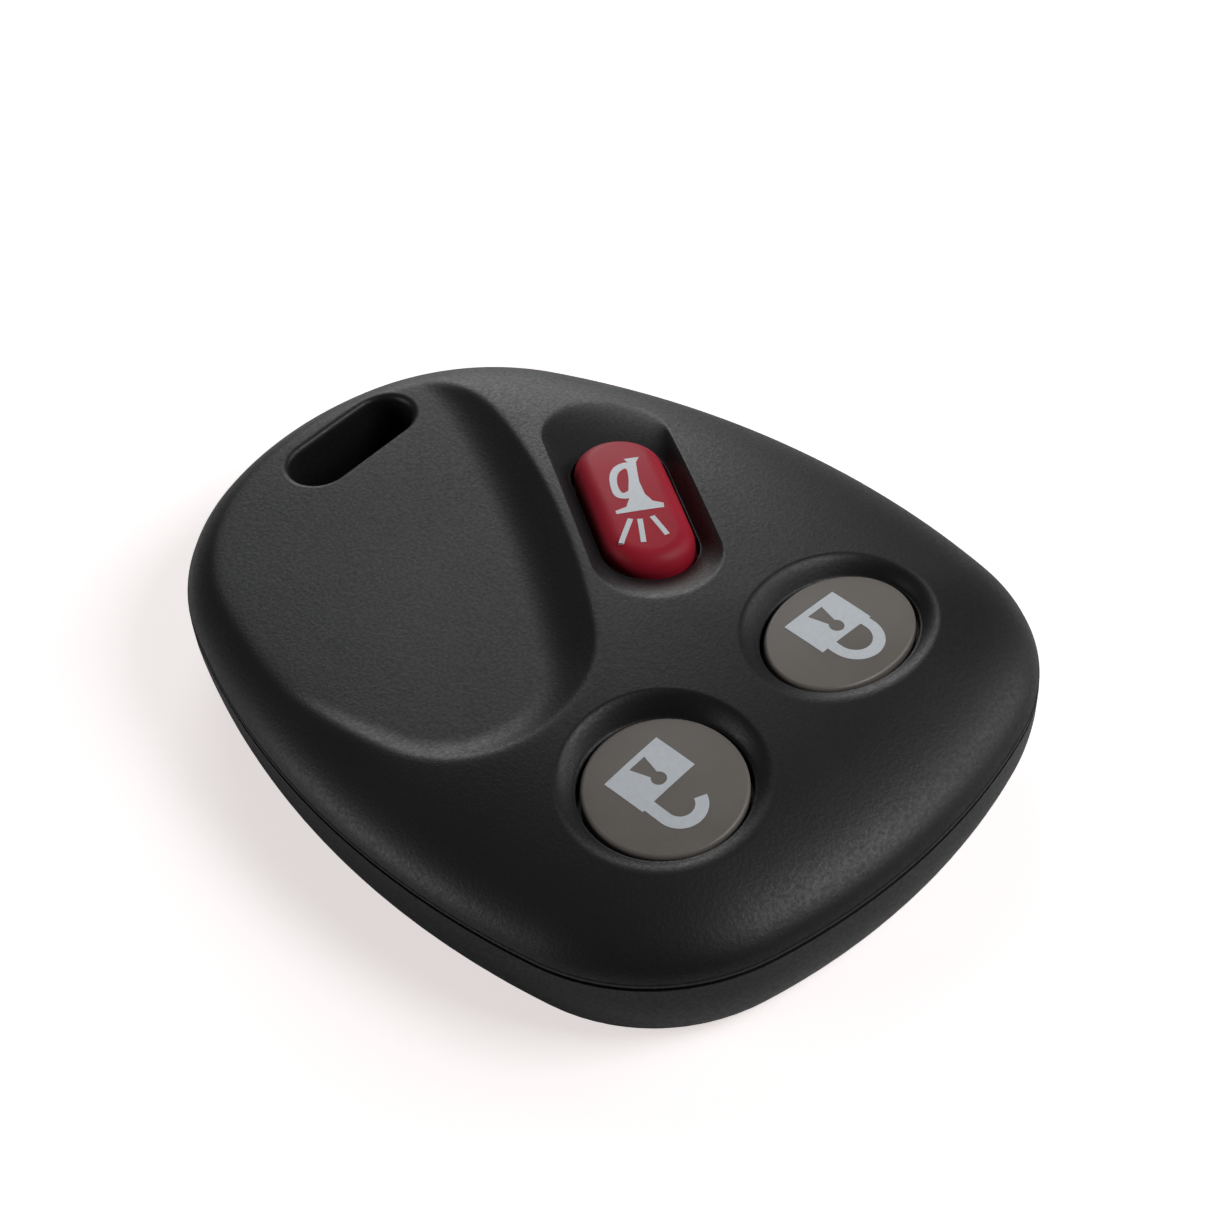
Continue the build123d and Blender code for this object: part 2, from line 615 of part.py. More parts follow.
def battery_cap():
    cup = round_prism(CELL_AT, CELL_CAP_RADIUS, CELL_BOTTOM_Z + CELL_HEIGHT / 3, CELL_TOP_Z)
    cup = fillet(cup.edges().group_by(Axis.Z)[-1], CELL_STEP)
    return cup - round_prism(CELL_AT, CELL_CAP_RADIUS - CELL_STEP, CELL_BOTTOM_Z, CELL_TOP_Z - CELL_STEP)


def battery_electrodes():
    radius = CELL_CAP_RADIUS - CAN_WALL
    return round_prism(CELL_AT, radius, CELL_BOTTOM_Z + CAN_WALL, CELL_TOP_Z - CELL_STEP)


def battery_positive_clip():
    """A metal strap under the cell, with a leg and a soldered foot on each side."""
    reach = CELL_RADIUS + CLIP_ROOM
    low = CELL_BOTTOM_Z - CLIP_THICKNESS
    strap = block(CELL_AT, (2 * reach, CLIP_WIDTH, CLIP_THICKNESS), low)
    for side in (-1, 1):
        leg = (CELL_AT[0] + side * (reach - CLIP_THICKNESS / 2), CELL_AT[1])
        foot = (CELL_AT[0] + side * (reach + CLIP_FOOT / 2 - 0.1), CELL_AT[1])
        strap += block(leg, (CLIP_THICKNESS, CLIP_WIDTH, BOARD_BOTTOM_Z - low), low)
        strap += block(foot, (CLIP_FOOT, CLIP_WIDTH, CLIP_THICKNESS), BOARD_BOTTOM_Z - CLIP_THICKNESS)
    return strap


def battery_negative_contact():
    """A plate under the board with a dimple that presses on the cell."""
    low = BOARD_BOTTOM_Z - CELL_STEP
    plate = block(CELL_AT, (PLATE_LENGTH, PLATE_WIDTH, CELL_STEP), low)
    return plate + round_prism(CELL_AT, DIMPLE_RADIUS, CELL_TOP_Z, BOARD_BOTTOM_Z)


def save(shape, name):
    export_step(shape, "parts/" + name + ".step")


def main():
    os.makedirs("parts", exist_ok=True)
    save(top_cover(), "top_cover")
    save(bottom_cover(), "bottom_cover")
    for kind in KINDS:
        mark = symbol(kind)
        save(mark, kind + "_symbol")
        save(button_cap(kind) - mark, kind + "_button")
        save(switch_plunger(kind), kind + "_switch_plunger")
    save(silicone_keypad(), "silicone_keypad")
    save(circuit_board(), "circuit_board")
    save(antenna_loop(), "antenna_loop")
    save(switch_bases(), "switch_bases")
    save(switch_frames(), "switch_frames")
    save(chip(CONTROLLER_AT, CONTROLLER_SIZE, 8), "controller_chip")
    save(chip(TRANSMITTER_AT, TRANSMITTER_SIZE, 4), "transmitter_chip")
    save(resonator_can(), "resonator_can")
    save(timing_crystal(), "timing_crystal")
    save(tuning_coil(), "tuning_coil")
    save(chip_row(RESISTOR_PLACES, RESISTOR_SIZE), "chip_resistors")
    save(chip_row(CAPACITOR_PLACES, CAPACITOR_SIZE), "chip_capacitors")
    save(battery_can(), "battery_can")
    save(battery_gasket(), "battery_gasket")
    save(battery_cap(), "battery_cap")
    save(battery_electrodes(), "battery_electrodes")
    save(battery_positive_clip(), "battery_positive_clip")
    save(battery_negative_contact(), "battery_negative_contact")


main()
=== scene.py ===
import math

import bpy
import numpy as np
from bpy.props import FloatProperty, FloatVectorProperty, PointerProperty
from mathutils import Matrix


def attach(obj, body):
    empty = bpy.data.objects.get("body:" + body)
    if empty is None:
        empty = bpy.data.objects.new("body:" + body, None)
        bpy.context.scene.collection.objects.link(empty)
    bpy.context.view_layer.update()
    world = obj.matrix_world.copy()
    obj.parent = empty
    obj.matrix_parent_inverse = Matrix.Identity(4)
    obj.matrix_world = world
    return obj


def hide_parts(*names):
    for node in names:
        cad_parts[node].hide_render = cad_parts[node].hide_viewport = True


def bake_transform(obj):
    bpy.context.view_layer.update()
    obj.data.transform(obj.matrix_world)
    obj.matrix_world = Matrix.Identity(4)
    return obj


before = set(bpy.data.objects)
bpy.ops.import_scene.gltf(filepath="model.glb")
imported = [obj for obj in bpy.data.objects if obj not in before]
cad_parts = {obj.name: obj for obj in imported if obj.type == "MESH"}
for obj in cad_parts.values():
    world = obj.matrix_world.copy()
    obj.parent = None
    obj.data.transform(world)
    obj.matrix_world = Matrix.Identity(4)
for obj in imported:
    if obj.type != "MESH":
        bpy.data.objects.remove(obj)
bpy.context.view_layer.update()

bl_info = {
    "name": "Key Fob Parts",
    "version": (1, 0, 0),
    "blender": (4, 5, 0),
    "location": "3D View > Sidebar > Key Fob",
    "description": "Builds the moulded skins, finishes and studio of a three-button key fob",
    "category": "Add Mesh",
}

MM = 0.001

# Outside of the case, in millimetres, as the CAD model has it
TIP_Y = 29.0
FRONT_Y = -29.0
HALF_WIDTH = 22.5
WIDEST_Y = -5.8
SIDE_RADIUS = 59.2
TIP_RADIUS = 22.9
TIP_CORNER_RADIUS = 16.8
FRONT_RADIUS = 44.3
FRONT_CORNER_RADIUS = 13.5
DOME_CENTRE = (0.0, -4.0)
PARTING_Z = 6.4
SEAM_GAP = 0.12
RIM_Z = PARTING_Z + SEAM_GAP / 2
TOP_RISE = 5.8
DOME_FULLNESS = 1.93
SHOULDER_FULLNESS = 2.2
SHOULDER_INSET = 8.0
SHOULDER_BLEND = (4.5, 7.0)
RIM_INSET = 1.9

# Rows from the skin's grid to the parting line: insets on the dome, then insets and heights over the rim
SHOULDER_ROWS = (
    1.75, 1.6, 1.4, 1.2, 1.0, 0.84, 0.7, 0.57, 0.45, 0.35, 0.26, 0.18, 0.12, 0.07, 0.04, 0.02, 0.01,
)
RIM_ROWS = ((0.01, 0.4), (0.03, 0.25), (0.07, 0.14), (0.14, 0.06), (0.22, 0.02), (0.3, 0.0))

# Inside of the top cover
ROOF_Z = 8.9
LOW_ROOF_Z = 8.2
LOW_ROOF_Y = 11.5
ROOF_STEP = 0.4
CAVITY_WALL = 1.6
CAVITY_SHOULDER = 5.0
CAVITY_FOOT_Z = PARTING_Z - 0.2
INNER_RIM_INSET = 2.2
HELD_INSET = INNER_RIM_INSET + 0.1
REBATE_INSET = 0.85
REBATE_TOP_Z = 7.35
INNER_RIM_ROWS = (2.15, 2.08)
REBATE_ROWS = ((REBATE_INSET, REBATE_TOP_Z), (REBATE_INSET, RIM_Z + 0.1), (REBATE_INSET + 0.08, RIM_Z))
INSIDE_STEP = 0.7
POST_RADIUS = 1.5
POST_BOTTOM_Z = 6.15
POST_TOP_Z = 9.0
POST_TAPER = 0.2
POST_PLACES = [(-16.0, -8.0), (16.0, -8.0), (-13.5, 10.5), (16.0, 8.5)]
POST_SIDES = 40

# Thumb dish
DISH_FLOOR_Z = 10.3
DISH_SLOPE_X = 0.030
DISH_SLOPE_Y = -0.045
DISH_LOW = (-10.1, 1.35, 9.6)
DISH_TIP = (-5.25, 25.2, 17.4)
DISH_SIDE_RADIUS = 121.0
DISH_WALL_WIDTH = 4.0
DISH_WALL_HEIGHT = 2.1
DISH_EDGE = 0.22

# Key-ring slot
SLOT_AT = (1.3, 23.35)
SLOT_LENGTH = 10.3
SLOT_WIDTH = 4.3
SLOT_WALL = 1.3
SLOT_LIP = 0.45
SLOT_PROFILE = (
    (0, 8.3), (0, 7.2), (0, RIM_Z), (SLOT_WALL, RIM_Z), (SLOT_WALL, 7.4), (SLOT_WALL, LOW_ROOF_Z),
)

# Buttons: places, heights, and how the case slopes there along X and Y
KINDS = ("lock", "unlock", "panic")
CAP_AT = {"lock": (8.26, -15.32), "unlock": (-8.51, -15.75), "panic": (8.01, 2.49)}
CAP_TOP_Z = {"lock": 10.83, "unlock": 10.74, "panic": 12.0}
CAP_SLOPES = {"lock": (-0.08, 0.06), "unlock": (0.08, 0.06), "panic": (-0.12, -0.02)}
CAP_ABOVE_RIM = {"lock": -0.3, "unlock": -0.3, "panic": 0.4}
LOCK_RADII = (5.7, 4.3)
LOCK_TURN = 5.0
UNLOCK_RADIUS = 5.2
PANIC_LENGTH = 13.9
PANIC_WIDTH = 6.05
PANIC_TURN = -31.5 + 90.0
CAP_GAP = 0.26

# Seats round the caps. Rows lead from a frame just outside each seat down to its hole
SEAT_FLAT = 0.12
SEAT_WIDTH = 1.4
SEAT_DEPTH = 0.75
SEAT_LEAN = (-0.03, -0.04)
SEAT_ROLL = {"lock": 0.5, "unlock": 0.5, "panic": 0.1}
RECESS_LENGTH = 22.4
RECESS_WIDTH = 8.8
RECESS_SHIFT = 0.78
RECESS_DEPTH = 1.3
FRAME_MARGIN = 0.3
FRAME_ROWS = 26
SLOT_FRAME_MARGIN = 0.15
SLOT_FRAME_ROWS = 4
LIP_TURNS = (22.5, 45, 67.5, 90)
HOLE_LIP = 0.1
HOLE_FOOT_Z = 9.2
POCKET_Z = 8.9
GUIDE_BOTTOM_Z = 8.4
GUIDE_INNER = 0.65
GUIDE_OUTER = 1.35
GUIDE_PROFILE = (
    (0, HOLE_FOOT_Z), (0, POCKET_Z), (GUIDE_INNER, POCKET_Z), (GUIDE_INNER, GUIDE_BOTTOM_Z),
    (GUIDE_OUTER, GUIDE_BOTTOM_Z), (GUIDE_OUTER, ROOF_Z),
)

# Rubber keypad: a sheet with an opening under each cap, a pad in it, and a thin web between them
SHEET_BOTTOM_Z = 8.0
SHEET_TOP_Z = 8.38
SHEET_MARGIN = 1.5
SHEET_OPENING = 1.0
BRIDGE_WIDTH = 9.0
PAD_MARGIN = 0.5
NUB_RADIUS = 1.4
NUB_BOTTOM_Z = 7.77
WEB_THICKNESS = 0.08
WEB_LOW_Z = 8.02
WEB_HIGH_Z = 8.24
WEB_LAP = 0.1
WEB_ROWS = 9
PAD_EDGE = 0.06
NUB_EDGE = 0.12
SHEET_STEP = 0.25
ROUND_POINTS = 120

# Edges of the skins sharper than this angle stay sharp
SHARP_ANGLE = math.radians(35.0)


# Outlines in plan


def circle_meeting(first, first_reach, second, second_reach, side):
    """The point at given distances from two centres, on the chosen side of the way between them."""
    run = (second[0] - first[0], second[1] - first[1])
    gap = math.hypot(*run)
    along = (first_reach**2 - second_reach**2 + gap**2) / (2 * gap)
    across = side * math.sqrt(first_reach**2 - along**2)
    ux, uy = run[0] / gap, run[1] / gap
    return (first[0] + along * ux + across * uy, first[1] + along * uy - across * ux)


def bearing(start, end):
    """Angle of the way from one point to another."""
    return math.atan2(end[1] - start[1], end[0] - start[0])


def case_arcs():
    """Tangent arcs round the case, anticlockwise: centre x and y, radius, start and end angle."""
    tip = (0.0, TIP_Y - TIP_RADIUS)
    front = (0.0, FRONT_Y + FRONT_RADIUS)
    side = (HALF_WIDTH - SIDE_RADIUS, WIDEST_Y)
    low, high = FRONT_CORNER_RADIUS, TIP_CORNER_RADIUS
    low_corner = circle_meeting(front, FRONT_RADIUS - low, side, SIDE_RADIUS - low, -1.0)
    high_corner = circle_meeting(side, SIDE_RADIUS - high, tip, TIP_RADIUS - high, -1.0)
    first, second = bearing(front, low_corner), bearing(side, low_corner)
    third, fourth = bearing(side, high_corner), bearing(tip, high_corner)
    half = math.pi
    right = [
        (*low_corner, low, first, second),
        (*side, SIDE_RADIUS, second, third),
        (*high_corner, high, third, fourth),
    ]
    left = [(-x, y, radius, half - end, half - start) for x, y, radius, start, end in right[::-1]]
    over_tip = (*tip, TIP_RADIUS, fourth, half - fourth)
    along_front = (*front, FRONT_RADIUS, half - first, 2 * half + first)
    return right + [over_tip] + left + [along_front]


def dish_arcs():
    """Tangent arcs round the dish at the top of its wall."""
    low, tip = DISH_LOW[:2], DISH_TIP[:2]
    reach = (DISH_SIDE_RADIUS - DISH_LOW[2], DISH_SIDE_RADIUS - DISH_TIP[2])
    right = circle_meeting(low, reach[0], tip, reach[1], -1.0)
    left = circle_meeting(low, reach[0], tip, reach[1], 1.0)
    turn = 2 * math.pi
    right_low, right_tip = bearing(right, low), bearing(right, tip)
    left_tip, left_low = bearing(left, tip) % turn, bearing(left, low) % turn
    return [
        (low[0], low[1], DISH_LOW[2], left_low, right_low + turn),
        (right[0], right[1], DISH_SIDE_RADIUS, right_low, right_tip),
        (tip[0], tip[1], DISH_TIP[2], right_tip, left_tip),
        (left[0], left[1], DISH_SIDE_RADIUS, left_tip, left_low),
    ]


CASE = case_arcs()
DISH = dish_arcs()


def nearest_arc(arcs, x, y):
    """Inset and arc number for each point. The inset is the radius less the distance to the centre, for the
    arcs whose sector holds the point, and the least of these; it is negative outside."""
    best = np.full(np.shape(x), np.inf)
    which = np.zeros(np.shape(x), int)
    for number, (cx, cy, radius, start, end) in enumerate(arcs):
        past = np.mod(np.arctan2(y - cy, x - cx) - start + 1e-7, 2 * math.pi)
        inset = radius - np.hypot(x - cx, y - cy)
        better = (past <= end - start + 2e-7) & (inset < best)
        best = np.where(better, inset, best)
        which = np.where(better, number, which)
    return best, which


def moved_inset(arcs, x, y, inset):
    """The points slid along their outline's normals to another inset."""
    table = np.array([arc[:3] for arc in arcs])[nearest_arc(arcs, x, y)[1]]
    dx, dy = x - table[:, 0], y - table[:, 1]
    share = (table[:, 2] - inset) / np.hypot(dx, dy)
    return table[:, 0] + dx * share, table[:, 1] + dy * share


def held_in(x, y, inset):
    """Points nearer to the case's outline than an inset are slid inwards to it."""
    near = nearest_arc(CASE, x, y)[0] < inset
    inner_x, inner_y = moved_inset(CASE, x, y, inset)
    return np.where(near, inner_x, x), np.where(near, inner_y, y)


class PlanShape:
    """A shape in plan with a centre and a turn; x and y of its own run along and across it."""

    def __init__(self, at, turn):
        self.at, self.turn = at, math.radians(turn)

    def local(self, x, y):
        """Points in the shape's own coordinates."""
        c, s = math.cos(self.turn), math.sin(self.turn)
        dx, dy = x - self.at[0], y - self.at[1]
        return dx * c + dy * s, dy * c - dx * s

    def placed(self, along, across):
        """Points of the shape's own coordinates in the plan."""
        c, s = math.cos(self.turn), math.sin(self.turn)
        return self.at[0] + along * c - across * s, self.at[1] + along * s + across * c


class Oblong(PlanShape):
    """A shape with round ends: half the distance between the end centres, and the end radius."""

    def __init__(self, at, half, radius, turn=0.0):
        super().__init__(at, turn)
        self.half, self.radius = half, radius

    def grown(self, margin):
        """This outline moved outwards."""
        return Oblong(self.at, self.half, self.radius + margin, math.degrees(self.turn))

    def outside(self, x, y):
        """Distance to the nearest point between the end centres, less the radius."""
        a, b = self.local(x, y)
        return np.hypot(a - np.clip(a, -self.half, self.half), b) - self.radius

    def carried(self, x, y, other):
        """Points of this outline taken to the matching points of another: same normal, same share along."""
        a, b = self.local(x, y)
        stop = np.clip(a, -self.half, self.half)
        length = np.hypot(a - stop, b)
        ratio = other.half / self.half if self.half else 0.0
        return other.placed(stop * ratio + (a - stop) / length * other.radius, b / length * other.radius)


class Oval(PlanShape):
    """An ellipse with its two radii."""

    def __init__(self, at, radii, turn=0.0):
        super().__init__(at, turn)
        self.radii = radii

    def grown(self, margin):
        """This outline with both radii longer."""
        return Oval(self.at, (self.radii[0] + margin, self.radii[1] + margin), math.degrees(self.turn))

    def outside(self, x, y):
        """The margin at which the grown oval meets the point, by four steps. With q the root of the sum of
        the squares of each coordinate over its radius, a step adds q (q - 1) over the length of the vector
        whose parts are the coordinates over their squared radii."""
        a, b = self.local(x, y)
        margin = np.zeros(np.shape(x))
        for _ in range(4):
            wide = np.maximum(self.radii[0] + margin, 1.0)
            high = np.maximum(self.radii[1] + margin, 1.0)
            q = np.hypot(a / wide, b / high)
            margin = margin + q * (q - 1) / np.maximum(np.hypot(a / wide**2, b / high**2), 1e-3)
        return margin

    def carried(self, x, y, other):
        """Points of this outline taken to another oval at the same share of each radius."""
        a, b = self.local(x, y)
        angle = np.arctan2(b / self.radii[1], a / self.radii[0])
        return other.placed(other.radii[0] * np.cos(angle), other.radii[1] * np.sin(angle))


class HeldIn:
    """Another shape, kept at least an inset away from the case's outline."""

    def __init__(self, shape, inset):
        self.shape, self.inset, self.at = shape, inset, shape.at

    def outside(self, x, y):
        """The larger of the shape's own distance and the distance past the inset."""
        return np.maximum(self.shape.outside(x, y), self.inset - nearest_arc(CASE, x, y)[0])

    def carried(self, x, y, other):
        """The shape's own carried points, slid inwards where they are too near to the outline."""
        return held_in(*self.shape.carried(x, y, other.shape), other.inset)


def oblong(at, length, width, turn=0.0):
    """An oblong by its whole length and width."""
    return Oblong(at, (length - width) / 2, width / 2, turn)


def shifted(at, turn, along):
    """A point moved along a bearing in degrees."""
    angle = math.radians(turn)
    return (at[0] + along * math.cos(angle), at[1] + along * math.sin(angle))


CAPS = {
    "lock": Oval(CAP_AT["lock"], LOCK_RADII, LOCK_TURN),
    "unlock": Oval(CAP_AT["unlock"], (UNLOCK_RADIUS, UNLOCK_RADIUS)),
    "panic": oblong(CAP_AT["panic"], PANIC_LENGTH, PANIC_WIDTH, PANIC_TURN),
}
HOLES = {kind: CAPS[kind].grown(CAP_GAP) for kind in KINDS}
RECESS_AT = shifted(CAP_AT["panic"], PANIC_TURN, RECESS_SHIFT)
RECESS_RIM = oblong(RECESS_AT, RECESS_LENGTH, RECESS_WIDTH, PANIC_TURN)
SLOT_HOLE = oblong(SLOT_AT, SLOT_LENGTH, SLOT_WIDTH)


# Heights over the plan


def soft_step(share):
    """A share of 0 to 1 eased at both ends: its square times three less twice itself."""
    share = np.clip(share, 0, 1)
    return share * share * (3 - 2 * share)


def lower_of(a, b, softness):
    """The lower of two heights with a rounded crease: half of their sum less the root of their difference
    squared plus the softness squared."""
    return 0.5 * (a + b - np.sqrt((a - b) ** 2 + softness**2))


def scaled_depth(x, y):
    """Depth by scale: how far the outline that lies SHOULDER_INSET in has shrunk towards the dome's centre
    when it meets the point, found by halving."""
    dx, dy = x - DOME_CENTRE[0], y - DOME_CENTRE[1]
    low, high = np.full(np.shape(x), 1e-4), np.full(np.shape(x), 2.5)
    for _ in range(26):
        middle = (low + high) / 2
        inset = nearest_arc(CASE, DOME_CENTRE[0] + dx / middle, DOME_CENTRE[1] + dy / middle)[0]
        beyond = inset < SHOULDER_INSET
        low = np.where(beyond, middle, low)
        high = np.where(beyond, high, middle)
    return SHOULDER_INSET + (HALF_WIDTH - SHOULDER_INSET) * (1 - high)


def case_depth(x, y):
    """Inset near the rim, depth by scale over the crown, with a soft change between them."""
    inset = nearest_arc(CASE, x, y)[0]
    over = soft_step((inset - SHOULDER_BLEND[0]) / SHOULDER_BLEND[1])
    return inset * (1 - over) + scaled_depth(x, y) * over


def dome_z(depth):
    """The dome's height: the rise times a root of one less a power of the share left to the top."""
    share = 1 - np.clip(depth, 0, HALF_WIDTH) / HALF_WIDTH
    return PARTING_Z + TOP_RISE * (1 - share**DOME_FULLNESS) ** (1 / SHOULDER_FULLNESS)


def foot_z(kind, x, y):
    """The plane that a seat's foot lies in. It slopes as the case does there; the round seats lean a little
    more, so that they are deepest on the side of the recess."""
    (at_x, at_y), (slope_x, slope_y) = CAP_AT[kind], CAP_SLOPES[kind]
    depth = RECESS_DEPTH
    if kind != "panic":
        depth, slope_x, slope_y = SEAT_DEPTH, slope_x + SEAT_LEAN[0], slope_y + SEAT_LEAN[1]
    return CAP_TOP_Z[kind] - CAP_ABOVE_RIM[kind] - depth + slope_x * (x - at_x) + slope_y * (y - at_y)


def seat_share(kind, x, y):
    """Share of the way from a seat's foot to its rim."""
    if kind == "panic":
        return recess_share(x, y)
    return np.clip((HOLES[kind].outside(x, y) - SEAT_FLAT) / (SEAT_WIDTH - SEAT_FLAT), 0, 1)


def recess_share(x, y):
    """Share of the way from foot to rim at which an oblong, whose length, width and shift lie at that share
    between theirs, goes through the point; found by halving."""
    foot, rim = HOLES["panic"].grown(SEAT_FLAT), RECESS_RIM
    a, b = foot.local(x, y)
    low, high = np.zeros(np.shape(x)), np.ones(np.shape(x))
    for _ in range(22):
        share = (low + high) / 2
        half = foot.half + (rim.half - foot.half) * share
        along = a - RECESS_SHIFT * share
        reach = np.hypot(along - np.clip(along, -half, half), b)
        inside = reach < foot.radius + (rim.radius - foot.radius) * share
        low, high = np.where(inside, low, share), np.where(inside, share, high)
    return (low + high) / 2


def seated(z, kind, x, y):
    """A surface rolled down into a seat. With s the share left to the rim and r the roll, its height over
    the foot shrinks by (root of s squared + r squared, less r) over (root of 1 + r squared, less r)."""
    left, roll = 1 - seat_share(kind, x, y), SEAT_ROLL[kind]
    fall = (np.hypot(left, roll) - roll) / (math.hypot(1, roll) - roll)
    return z - np.maximum(z - foot_z(kind, x, y), 0) * fall


def dish_z(x, y):
    """The thumb dish: a sloping plane, and a wall that rises with the square of its share of width."""
    share = np.maximum(1 - nearest_arc(DISH, x, y)[0] / DISH_WALL_WIDTH, 0)
    return DISH_FLOOR_Z + DISH_SLOPE_X * x + DISH_SLOPE_Y * y + DISH_WALL_HEIGHT * share**2


def cover_z(x, y):
    """Height of the top cover's outside over any point of the plan: the dome less the dish and seats."""
    z = lower_of(dome_z(case_depth(x, y)), dish_z(x, y), DISH_EDGE)
    for kind in KINDS:
        z = seated(z, kind, x, y)
    return z


def roof_z(x, y):
    """Height of the top cover's inside: a roof, lower towards the tip, and a quarter-ellipse shoulder."""
    roof = ROOF_Z - (ROOF_Z - LOW_ROOF_Z) * soft_step((y - LOW_ROOF_Y) / ROOF_STEP + 0.5)
    inset = np.clip(nearest_arc(CASE, x, y)[0], CAVITY_WALL, CAVITY_WALL + CAVITY_SHOULDER)
    cosine = 1 - (inset - CAVITY_WALL) / CAVITY_SHOULDER
    shoulder = CAVITY_FOOT_Z + (ROOF_Z - CAVITY_FOOT_Z) * np.sqrt(np.maximum(1 - cosine**2, 0))
    return np.minimum(roof, shoulder)


# Meshes from arrays


class Surface:
    """Points and triangles, gathered piece by piece."""

    def __init__(self):
        self.points = np.zeros((0, 3))
        self.triangles = np.zeros((0, 3), int)

    def add(self, x, y, z):
        """Adds points and gives their numbers, in the shape they came in."""
        x, y, z = np.broadcast_arrays(x, y, z)
        start = len(self.points)
        new = np.stack([x.ravel(), y.ravel(), z.ravel()], axis=1)
        self.points = np.concatenate([self.points, new])
        return np.arange(start, start + x.size).reshape(x.shape)

    def plan(self, row):
        """The X and Y of points by their numbers."""
        return self.points[row, 0], self.points[row, 1]

    def fill(self, triangles):
        """Adds triangles of point numbers."""
        self.triangles = np.concatenate([self.triangles, np.asarray(triangles).reshape(-1, 3)])

    def band(self, rows):
        """Faces between closed rows of point numbers. They face up when the first row lies outside and runs
        anticlockwise."""
        rows = np.asarray(rows)
        rows = np.concatenate([rows, rows[:, :1]], axis=1)
        a, b, c, d = rows[:-1, :-1], rows[:-1, 1:], rows[1:, 1:], rows[1:, :-1]
        self.fill(np.stack([a, b, c], axis=-1))
        self.fill(np.stack([a, c, d], axis=-1))

    def lace(self, outer, inner, middle):
        """Faces between two closed rows of different lengths, matched by angle about a middle."""
        turns = []
        for row in (outer, inner):
            x, y = self.plan(row)
            turns.append(np.arctan2(y - middle[1], x - middle[0]))
        outer, inner = outer[np.argsort(turns[0])], inner[np.argsort(turns[1])]
        angles = np.concatenate([np.sort(turns[0]), np.sort(turns[1])])
        order = np.argsort(angles, kind="stable")
        is_outer = order < len(outer)
        seen_outer = np.cumsum(is_outer)
        seen_inner = np.cumsum(~is_outer)
        o_now, o_last = outer[(seen_outer - 1) % len(outer)], outer[(seen_outer - 2) % len(outer)]
        i_now, i_last = inner[(seen_inner - 1) % len(inner)], inner[(seen_inner - 2) % len(inner)]
        self.fill(np.stack([o_last, o_now, i_now], axis=1)[is_outer])
        self.fill(np.stack([i_now, i_last, o_now], axis=1)[~is_outer])

    def object(self, name):
        """A mesh object in metres with doubles merged, smooth but for its sharp edges."""
        keys = np.round(self.points * 1e5).astype(np.int64)
        _, first, where = np.unique(keys, axis=0, return_index=True, return_inverse=True)
        triangles = where.ravel()[self.triangles]
        a, b, c = triangles.T
        triangles = triangles[(a != b) & (b != c) & (a != c)]
        used, triangles = np.unique(triangles, return_inverse=True)
        points, triangles = self.points[first][used], triangles.reshape(-1, 3)
        mesh = bpy.data.meshes.new(name)
        mesh.vertices.add(len(points))
        mesh.vertices.foreach_set("co", (points * MM).ravel())
        mesh.loops.add(triangles.size)
        mesh.loops.foreach_set("vertex_index", triangles.ravel())
        mesh.polygons.add(len(triangles))
        mesh.polygons.foreach_set("loop_start", np.arange(0, triangles.size, 3))
        mesh.polygons.foreach_set("use_smooth", np.ones(len(triangles), bool))
        mesh.update(calc_edges=True)
        mesh.validate()
        mesh.set_sharp_from_angle(angle=SHARP_ANGLE)
        thing = bpy.data.objects.new(name, mesh)
        bpy.context.scene.collection.objects.link(thing)
        return thing


def lattice(step):
    """A flat grid of points over the whole plan, and two triangles to each square."""
    across, along = np.arange(-HALF_WIDTH, HALF_WIDTH + step, step), np.arange(FRONT_Y, TIP_Y + step, step)
    x, y = np.meshgrid(across, along)
    number = np.arange(x.size).reshape(x.shape)
    a, b, c, d = number[:-1, :-1], number[:-1, 1:], number[1:, 1:], number[1:, :-1]
    halves = [np.stack([a, b, c], -1).reshape(-1, 3), np.stack([a, c, d], -1).reshape(-1, 3)]
    return np.stack([x.ravel(), y.ravel()], axis=1), np.concatenate(halves)


